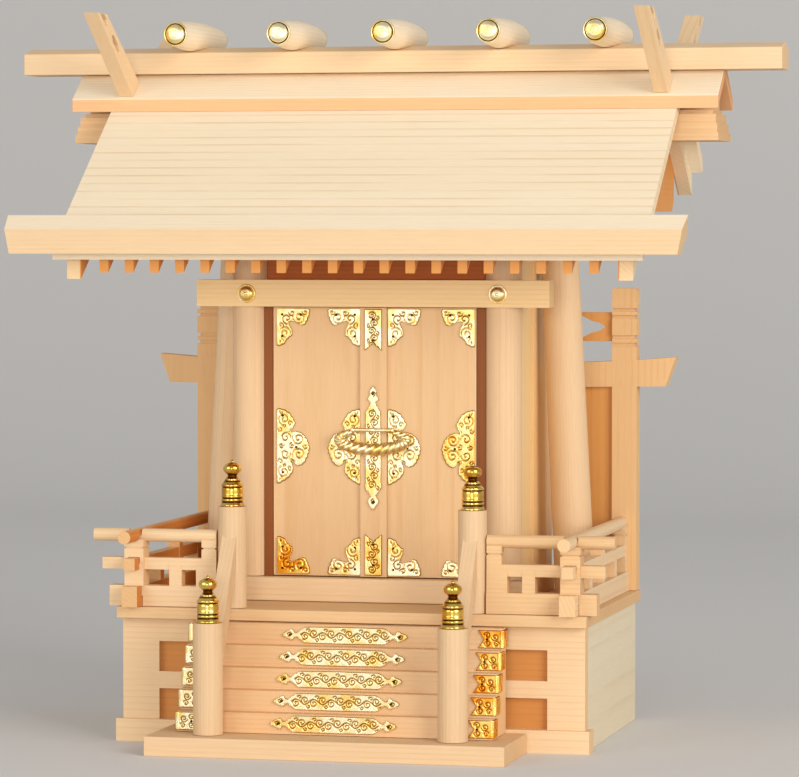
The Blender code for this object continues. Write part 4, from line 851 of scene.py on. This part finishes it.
def blunt_strip(across, along, blunt):
    """The ways across from -1 to 1 and along from 0 to 1, and the share of the way to the
    outline. The power blunt keeps the rim at both ends narrow."""
    cross = np.linspace(-1.0, 1.0, across)[:, None]
    t = np.linspace(0.0, 1.0, along)[None, :]
    return cross, t, np.maximum(np.abs(cross) + 0 * t, np.abs(2 * t - 1) ** blunt + 0 * cross)


def tail_plate(name, lay, look):
    """A straight strip with a swallow tail: the far end is bitten towards the middle by
    TAIL_BITE times one less the share across."""
    cross, t, share = blunt_strip(*TAIL_SHAPE)
    along = t * (TAIL_LENGTH - TAIL_BITE * (1 - np.abs(cross)))
    side = cross * TAIL_HALF + 0 * t
    lines = vine(1.5, TAIL_LENGTH - 2.0, 9.6, 1.5)
    heights = rimmed(share, raised(along, side, lines, LINE), TAIL_RIM)
    return pressed(name, along * MM, side * MM, heights, lay, look, "door_left")


plates.append(tail_plate("batten_plate_top", upright(door_left_high.z - EDGE), gold))
plates.append(tail_plate("batten_plate_foot", upright(door_left_low.z + EDGE, -1), warm_gold))
print("plates", len(plates))

# %% [markdown]
# ## Shoes on the ends of the steps
# The end of every step wears a gold shoe: a plate on the riser that folds round the corner and
# along the side. It is one strip again, carried along an L-shaped line seen from above, with a
# swallow tail at its inner end and a raised edge where it folds.

# %% Shoes on the steps
SHOE_FRONT, SHOE_SIDE, SHOE_BITE = 14.8, 11.0, 3.6
SHOE_HALF = 5.5
SHOE_SHAPE, SHOE_RIM = (29, 75, 10), 0.11  # as on the tail plates
FOLD_BACK, FOLD_HALF = 0.7, 0.8  # the raised edge: its place before the fold and half width
SHOE_CURLS = [
    curl((5.6, 2.4), 2.0, 180, 1.3, -1),
    curl((5.6, -2.4), 2.0, 180, 1.3, 1),
    curl((10.4, 1.3), 2.3, 200, 1.3, 1),
    curl((11.2, -2.8), 1.7, 20, 1.2, 1),
    curl((18.5, 1.8), 2.2, 180, 1.3, -1),
    curl((21.5, -2.2), 2.2, 0, 1.3, -1),
]


def shoe(name, face, level, side):
    """A folded strip: the way along it runs over the riser to the step's end at the stair's
    side, then back along that side; the metal stands out in front of the first leg and beside
    the second, and both at the fold."""
    cross, t, share = blunt_strip(*SHOE_SHAPE)
    start = SHOE_BITE * (1 - np.abs(cross))
    way = start + t * (SHOE_FRONT + SHOE_SIDE - start)
    height = cross * SHOE_HALF + 0 * t
    fold = np.clip(1 - np.abs(way - SHOE_FRONT + FOLD_BACK) / FOLD_HALF, 0, 1)
    heights = np.maximum(rimmed(share, raised(way, height, SHOE_CURLS, LINE), SHOE_RIM), fold)

    def lay(a, u, out):
        front_leg = np.clip(a, 0, SHOE_FRONT * MM)
        side_leg = np.clip(a - SHOE_FRONT * MM, 0, None)
        round_it = np.clip((a - SHOE_FRONT * MM) / MM + 0.5, 0, 1)
        x = stair_high.x - SHOE_FRONT * MM + front_leg + out * np.clip(2 * round_it, 0, 1)
        y = face + side_leg - out * np.clip(2 - 2 * round_it, 0, 1)
        return np.stack([side * x, y, level + u], axis=-1)

    look = deep_gold if side > 0 else gold
    return pressed(name, way * MM, height * MM, heights, lay, look, "shrine")


for step in range(STEPS):
    for side, word in ((-1, "left"), (1, "right")):
        plates.append(shoe(f"step_shoe_{word}_{step + 1}", *riser(step), side))
print("plates with the shoes", len(plates))

# %% [markdown]
# ## Turned work
# Finials, studs and the caps of the ridge logs are turned on a lathe: a profile goes once round
# an axis. The profile is given as radius and height, the angle runs round, and both poles close
# to a point. The attribute that the brass reads is darker where the profile dips.

# %% A lathe
HALO = 8  # the neighbours on either side with which a radius is compared
DIP = 0.5 * MM  # a radius this much smaller than its neighbours makes a fully dark hollow
POLE = 1.5 * MM  # within this radius the metal stays bright
EVEN = 0.75  # the height that the metal reads where nothing dips or stands out


def turned_piece(name, profile, place, axis, look, sides=48, fine=6, groove=(0, 0)):
    """Carries a profile of (radius, height) round an axis through place. Each stretch of the
    profile is split finely, and a point's darkness is how far it lies inside its neighbours;
    between the radii of groove it is fully dark."""
    profile = np.asarray(profile, float)
    steps = np.arange((len(profile) - 1) * fine + 1) / fine
    knots = np.arange(len(profile))
    radius = np.interp(steps, knots, profile[:, 0])
    height = np.interp(steps, knots, profile[:, 1])
    window = np.ones(2 * HALO + 1) / (2 * HALO + 1)
    around = np.convolve(np.pad(radius, HALO, mode="edge"), window, mode="valid")
    tone = np.clip(EVEN + (radius - around) / DIP, 0, 1)
    tone = np.maximum(tone, np.clip(2 - radius / POLE, 0, 1))
    tone = np.where((radius > groove[0] * MM) & (radius < groove[1] * MM), 0.0, tone)
    angle = np.linspace(0, 2 * math.pi, sides, endpoint=False)[None, :]
    circle = radius[:, None] * np.cos(angle), radius[:, None] * np.sin(angle)
    along = height[:, None] + 0 * angle
    if axis == "Z":
        spots = np.stack([circle[0], circle[1], along], axis=-1)
    else:
        spots = np.stack([circle[0], -along, circle[1]], axis=-1)
    faces = quads(len(radius), sides, around=True).tolist()
    made = mesh_object(name, spots + np.array(place), faces)
    return metal(made, np.repeat(tone, sides), look, "shrine")


# %% The finials on the stair posts
FINIAL = [
    (0, 0), (7.3, 0), (7.3, 0.7), (6.9, 1.5), (6.5, 2.4), (6.4, 3.2), (6.9, 3.6), (6.9, 4.7),
    (6.3, 5.1), (6.3, 5.6), (6.85, 6.0), (6.85, 7.0), (6.6, 7.4), (6.65, 11.8), (6.25, 12.3),
    (6.25, 12.8), (6.85, 13.2), (6.85, 14.2), (6.0, 15.0), (5.2, 16.2), (4.6, 17.0), (4.6, 17.9),
    (3.6, 18.5), (2.9, 19.2), (2.8, 20.4), (3.4, 21.2), (4.8, 22.3), (5.55, 23.6), (5.7, 24.9),
    (5.4, 26.2), (4.5, 27.3), (3.0, 28.1), (1.8, 28.5), (1.3, 28.9), (1.1, 29.6), (0.6, 30.3),
    (0, 30.9),
]
for end in ("lower_left", "lower_right", "upper_left", "upper_right"):
    low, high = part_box(f"finial_{end}")
    grown = (high.z - low.z) / (FINIAL[-1][1] * MM)
    shape = np.array(FINIAL) * MM * [1.0, grown]
    middle = ((low.x + high.x) / 2, (low.y + high.y) / 2, low.z)
    finial = turned_piece(f"post_finial_{end}", shape, middle, "Z", brass, sides=64, fine=4)
    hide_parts(f"finial_{end}")
print("four finials")

# %% Studs on the lintel
lintel_low, lintel_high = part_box("lintel")
STUD = [
    (0, -0.1), (5.9, -0.1), (5.9, 0.5), (5.5, 0.9), (5.1, 0.9), (4.9, 1.3), (4.2, 2.5),
    (3.0, 3.4), (1.9, 3.7), (1.6, 3.3), (1.2, 3.3), (1.0, 4.0), (0.5, 4.3), (0, 4.35),
]
STUD_OUT, STUD_DROP = 81.2 * MM, 8.7 * MM
for side, word in ((-1, "left"), (1, "right")):
    place = (side * STUD_OUT, lintel_low.y, lintel_high.z - STUD_DROP)
    turned_piece(f"lintel_stud_{word}", np.array(STUD) * MM, place, "Y", gold)
print("two studs")

# %% Caps on the ridge logs
LOG_CAP = [
    (0, -0.1), (7.6, -0.1), (7.8, 0.4), (7.8, 1.0), (7.4, 1.5), (6.9, 1.2), (6.6, 0.5),
    (6.35, 0.5), (6.1, 1.6), (5.4, 2.4), (3.9, 2.9), (2.2, 3.15), (1.0, 3.25), (0, 3.28),
]
CAP_GROOVE = (6.2, 6.85)  # radii between which the cap's ring of shadow lies
for log in range(1, 6):
    low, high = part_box(f"katsuogi_{log}")
    middle = (low.x + high.x) / 2, (low.z + high.z) / 2
    for face, way, word in ((low.y, 1, "front"), (high.y, -1, "back")):
        shape = np.array(LOG_CAP) * MM * [1, way]
        place = middle[0], face, middle[1]
        name = f"log_cap_{word}_{log}"
        turned_piece(name, shape, place, "Y", gold, groove=CAP_GROOVE)
print("ten log caps")

# %% [markdown]
# ## The lock
# A ring of twisted metal rope hangs where the doors meet, with a plain bar across its top. The
# rope goes most of the way round an ellipse and is thickest at the bottom. A rope's skin is a
# circle whose radius swells with the angle, and the swelling turns as the circle goes along:
# that gives the strands.

# %% A rope
lock_low, lock_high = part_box("door_lock")
LOCK_HALF = (lock_high.x - lock_low.x) / 2
LOCK_DEPTH = (lock_low.y + lock_high.y) / 2
ROPE_THICK, ROPE_THIN = 3.8 * MM, 1.6 * MM
ROPE_SHADE = 0.45  # how much darker the hollows between the strands are
ROPE_FLAT = min(1.0, (lock_high.y - lock_low.y) / 2 / ROPE_THICK)  # it fits the lock's depth


def rope(name, path, radii, strands, twist, swell, sides=32):
    """A tube along a path in the wall's plane. The circle lies across the path's direction,
    and its radius is times one plus swell times the cosine of strands times the angle less the
    twist so far."""
    ahead = np.gradient(path, axis=0)
    ahead /= np.linalg.norm(ahead, axis=1)[:, None]
    side = np.stack([-ahead[:, 1], ahead[:, 0]], axis=1)
    t = np.linspace(0, 1, len(path))[:, None]
    angle = np.linspace(0, 2 * math.pi, sides, endpoint=False)[None, :]
    bulge = 1 + swell * np.cos(strands * angle - 2 * math.pi * twist * t)
    reach = radii[:, None] * bulge
    x = path[:, :1] + side[:, :1] * reach * np.cos(angle)
    z = path[:, 1:] + side[:, 1:] * reach * np.cos(angle)
    y = LOCK_DEPTH + ROPE_FLAT * reach * np.sin(angle)
    faces = quads(len(path), sides, around=True).tolist()
    made = mesh_object(name, np.stack([x, y, z], axis=-1), faces)
    tones = np.clip(EVEN + (bulge - 1) / max(swell, 1e-6) * ROPE_SHADE, 0, 1)
    return metal(made, tones, gold, "door_left")


def tapered(share_left, steepness):
    """1 along a rope and nearly 0 at its very ends, so that the tube closes to a point."""
    return np.clip(share_left * steepness, 0.001, 1)


# %% The ring and the bar of the lock
SWING = math.radians(290)  # the rope goes four fifths round an ellipse
HANG_WIDE = LOCK_HALF - 1.2 * MM  # half the width of the ellipse, to the rope's middle
HANG_FOOT = lock_low.z + ROPE_THICK - 2.0 * MM  # the middle of the rope at its lowest
BAR_LEVEL = lock_high.z + 0.1 * MM
HANG_DEEP = (BAR_LEVEL - HANG_FOOT) / 2
t = np.linspace(0, 1, 220)
sweep_angle = (t - 0.5) * SWING
hang_up = HANG_FOOT + HANG_DEEP * (1 - np.cos(sweep_angle))
hang = np.stack([HANG_WIDE * np.sin(sweep_angle), hang_up], axis=1)
thick = ROPE_THIN + (ROPE_THICK - ROPE_THIN) * np.sin(math.pi * t) ** 0.7
thick *= tapered(np.minimum(t, 1 - t), 60)
ring = rope("lock_crescent", hang, thick, strands=3, twist=21, swell=0.09)
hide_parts("door_lock")

BAR_HALF = 1.2 * MM  # the bar's radius
BAR_REACH = 0.66 * HANG_WIDE  # half its length
u = np.linspace(-1, 1, 90)
bar_line = np.stack([BAR_REACH * u, np.full(len(u), BAR_LEVEL)], axis=1)
middle_knob = 0.45 * np.exp(-((u / 0.06) ** 2))
end_knobs = 0.5 * np.exp(-(((np.abs(u) - 0.9) / 0.05) ** 2))
bar_thick = BAR_HALF * (1 + middle_knob + end_knobs) * tapered(1 - np.abs(u), 25)
rope("lock_bar", bar_line, bar_thick, strands=1, twist=0, swell=0.0)
print("lock", 2 * LOCK_HALF, "wide, in two pieces")

# %% [markdown]
# ## Nails
# Small dark brass nails hold the plates: three in a corner plate, three in a half flower, two
# in each plate of the batten, and one at each end of a riser's plate and in each shoe. Each is
# a low dome of few faces, and all the nails of one body are a single piece.

# %% Nails
NAIL, NAIL_RISE, NAIL_SIDES = 0.85 * MM, 0.8, 12
NAIL_SEAT = PLATE + 0.65 * PRESS  # the dome starts a little under the plate's ground


def nails(name, spots, body):
    """A dome at each (x, face, z): radius NAIL times the cosine and height NAIL times NAIL_RISE
    times the sine of a quarter turn, on a short foot that reaches into the metal."""
    turn = np.linspace(0, math.pi / 2, 5)[:, None]
    angle = np.linspace(0, 2 * math.pi, NAIL_SIDES, endpoint=False)[None, :]
    x = NAIL * np.cos(turn) * np.cos(angle)
    z = NAIL * np.cos(turn) * np.sin(angle)
    y = -NAIL * NAIL_RISE * np.sin(turn) + 0 * angle
    foot = np.stack([x[:1], y[:1] + PRESS + PLATE, z[:1]], axis=-1)
    dome = np.concatenate([foot, np.stack([x, y, z], axis=-1)]).reshape(-1, 3)
    skin = quads(len(turn) + 1, NAIL_SIDES, around=True)
    faces, points = [], []
    for count, (sx, sy, sz) in enumerate(spots):
        points.append(dome + np.array([sx, sy - NAIL_SEAT, sz]))
        faces += (skin + count * len(dome)).tolist()
        faces.append((np.arange(NAIL_SIDES) + count * len(dome)).tolist())
    points = np.concatenate(points)
    metal(mesh_object(name, points, faces), np.zeros(len(points)), brass, body)


# %% Where the nails sit
CORNER_NAILS = ((3.4, 3.6), (15.6, 3.8), (3.4, 17.2))
FLOWER_NAILS = ((3.6, 19.0), (12.5, -0.9), (3.8, -16.9))
LONG_NAILS, TAIL_NAILS = (4.8, 73.4), (7.4, 20.6)  # along the batten's plates
RISER_NAIL, SHOE_NAIL = 5.0 * MM, 9.2 * MM  # from the plate's end and the stair's side

for body, (outer, inner, side) in LEAVES.items():
    spots = []
    for edge, way in ((outer, side), (inner, -side)):
        for level, rise in ENDS.values():
            for dx, dz in CORNER_NAILS:
                spots.append((edge + way * dx * MM, DOOR_FACE, level + rise * dz * MM))
        for dx, dz in FLOWER_NAILS:
            spots.append((edge + way * dx * MM, DOOR_FACE, FLOWER_LEVEL + dz * MM))
    if body == "door_left":
        for dz in LONG_NAILS:
            spots.append((0.0, BATTEN_FACE, (LONG_TOP - dz) * MM))
        for level, rise in ((door_left_high.z, -1), (door_left_low.z, 1)):
            for dz in TAIL_NAILS:
                spots.append((0.0, BATTEN_FACE, level + rise * dz * MM))
    nails(f"{body}_nails", spots, body)

spots = []
for step in range(STEPS):
    face, level = riser(step)
    for way in (-1, 1):
        spots.append((way * (RISER_LENGTH / 2 * MM - RISER_NAIL), face, level))
        spots.append((way * (stair_high.x - SHOE_NAIL), face, level))
nails("stair_nails", spots, "shrine")
print("nails on the stair", len(spots))
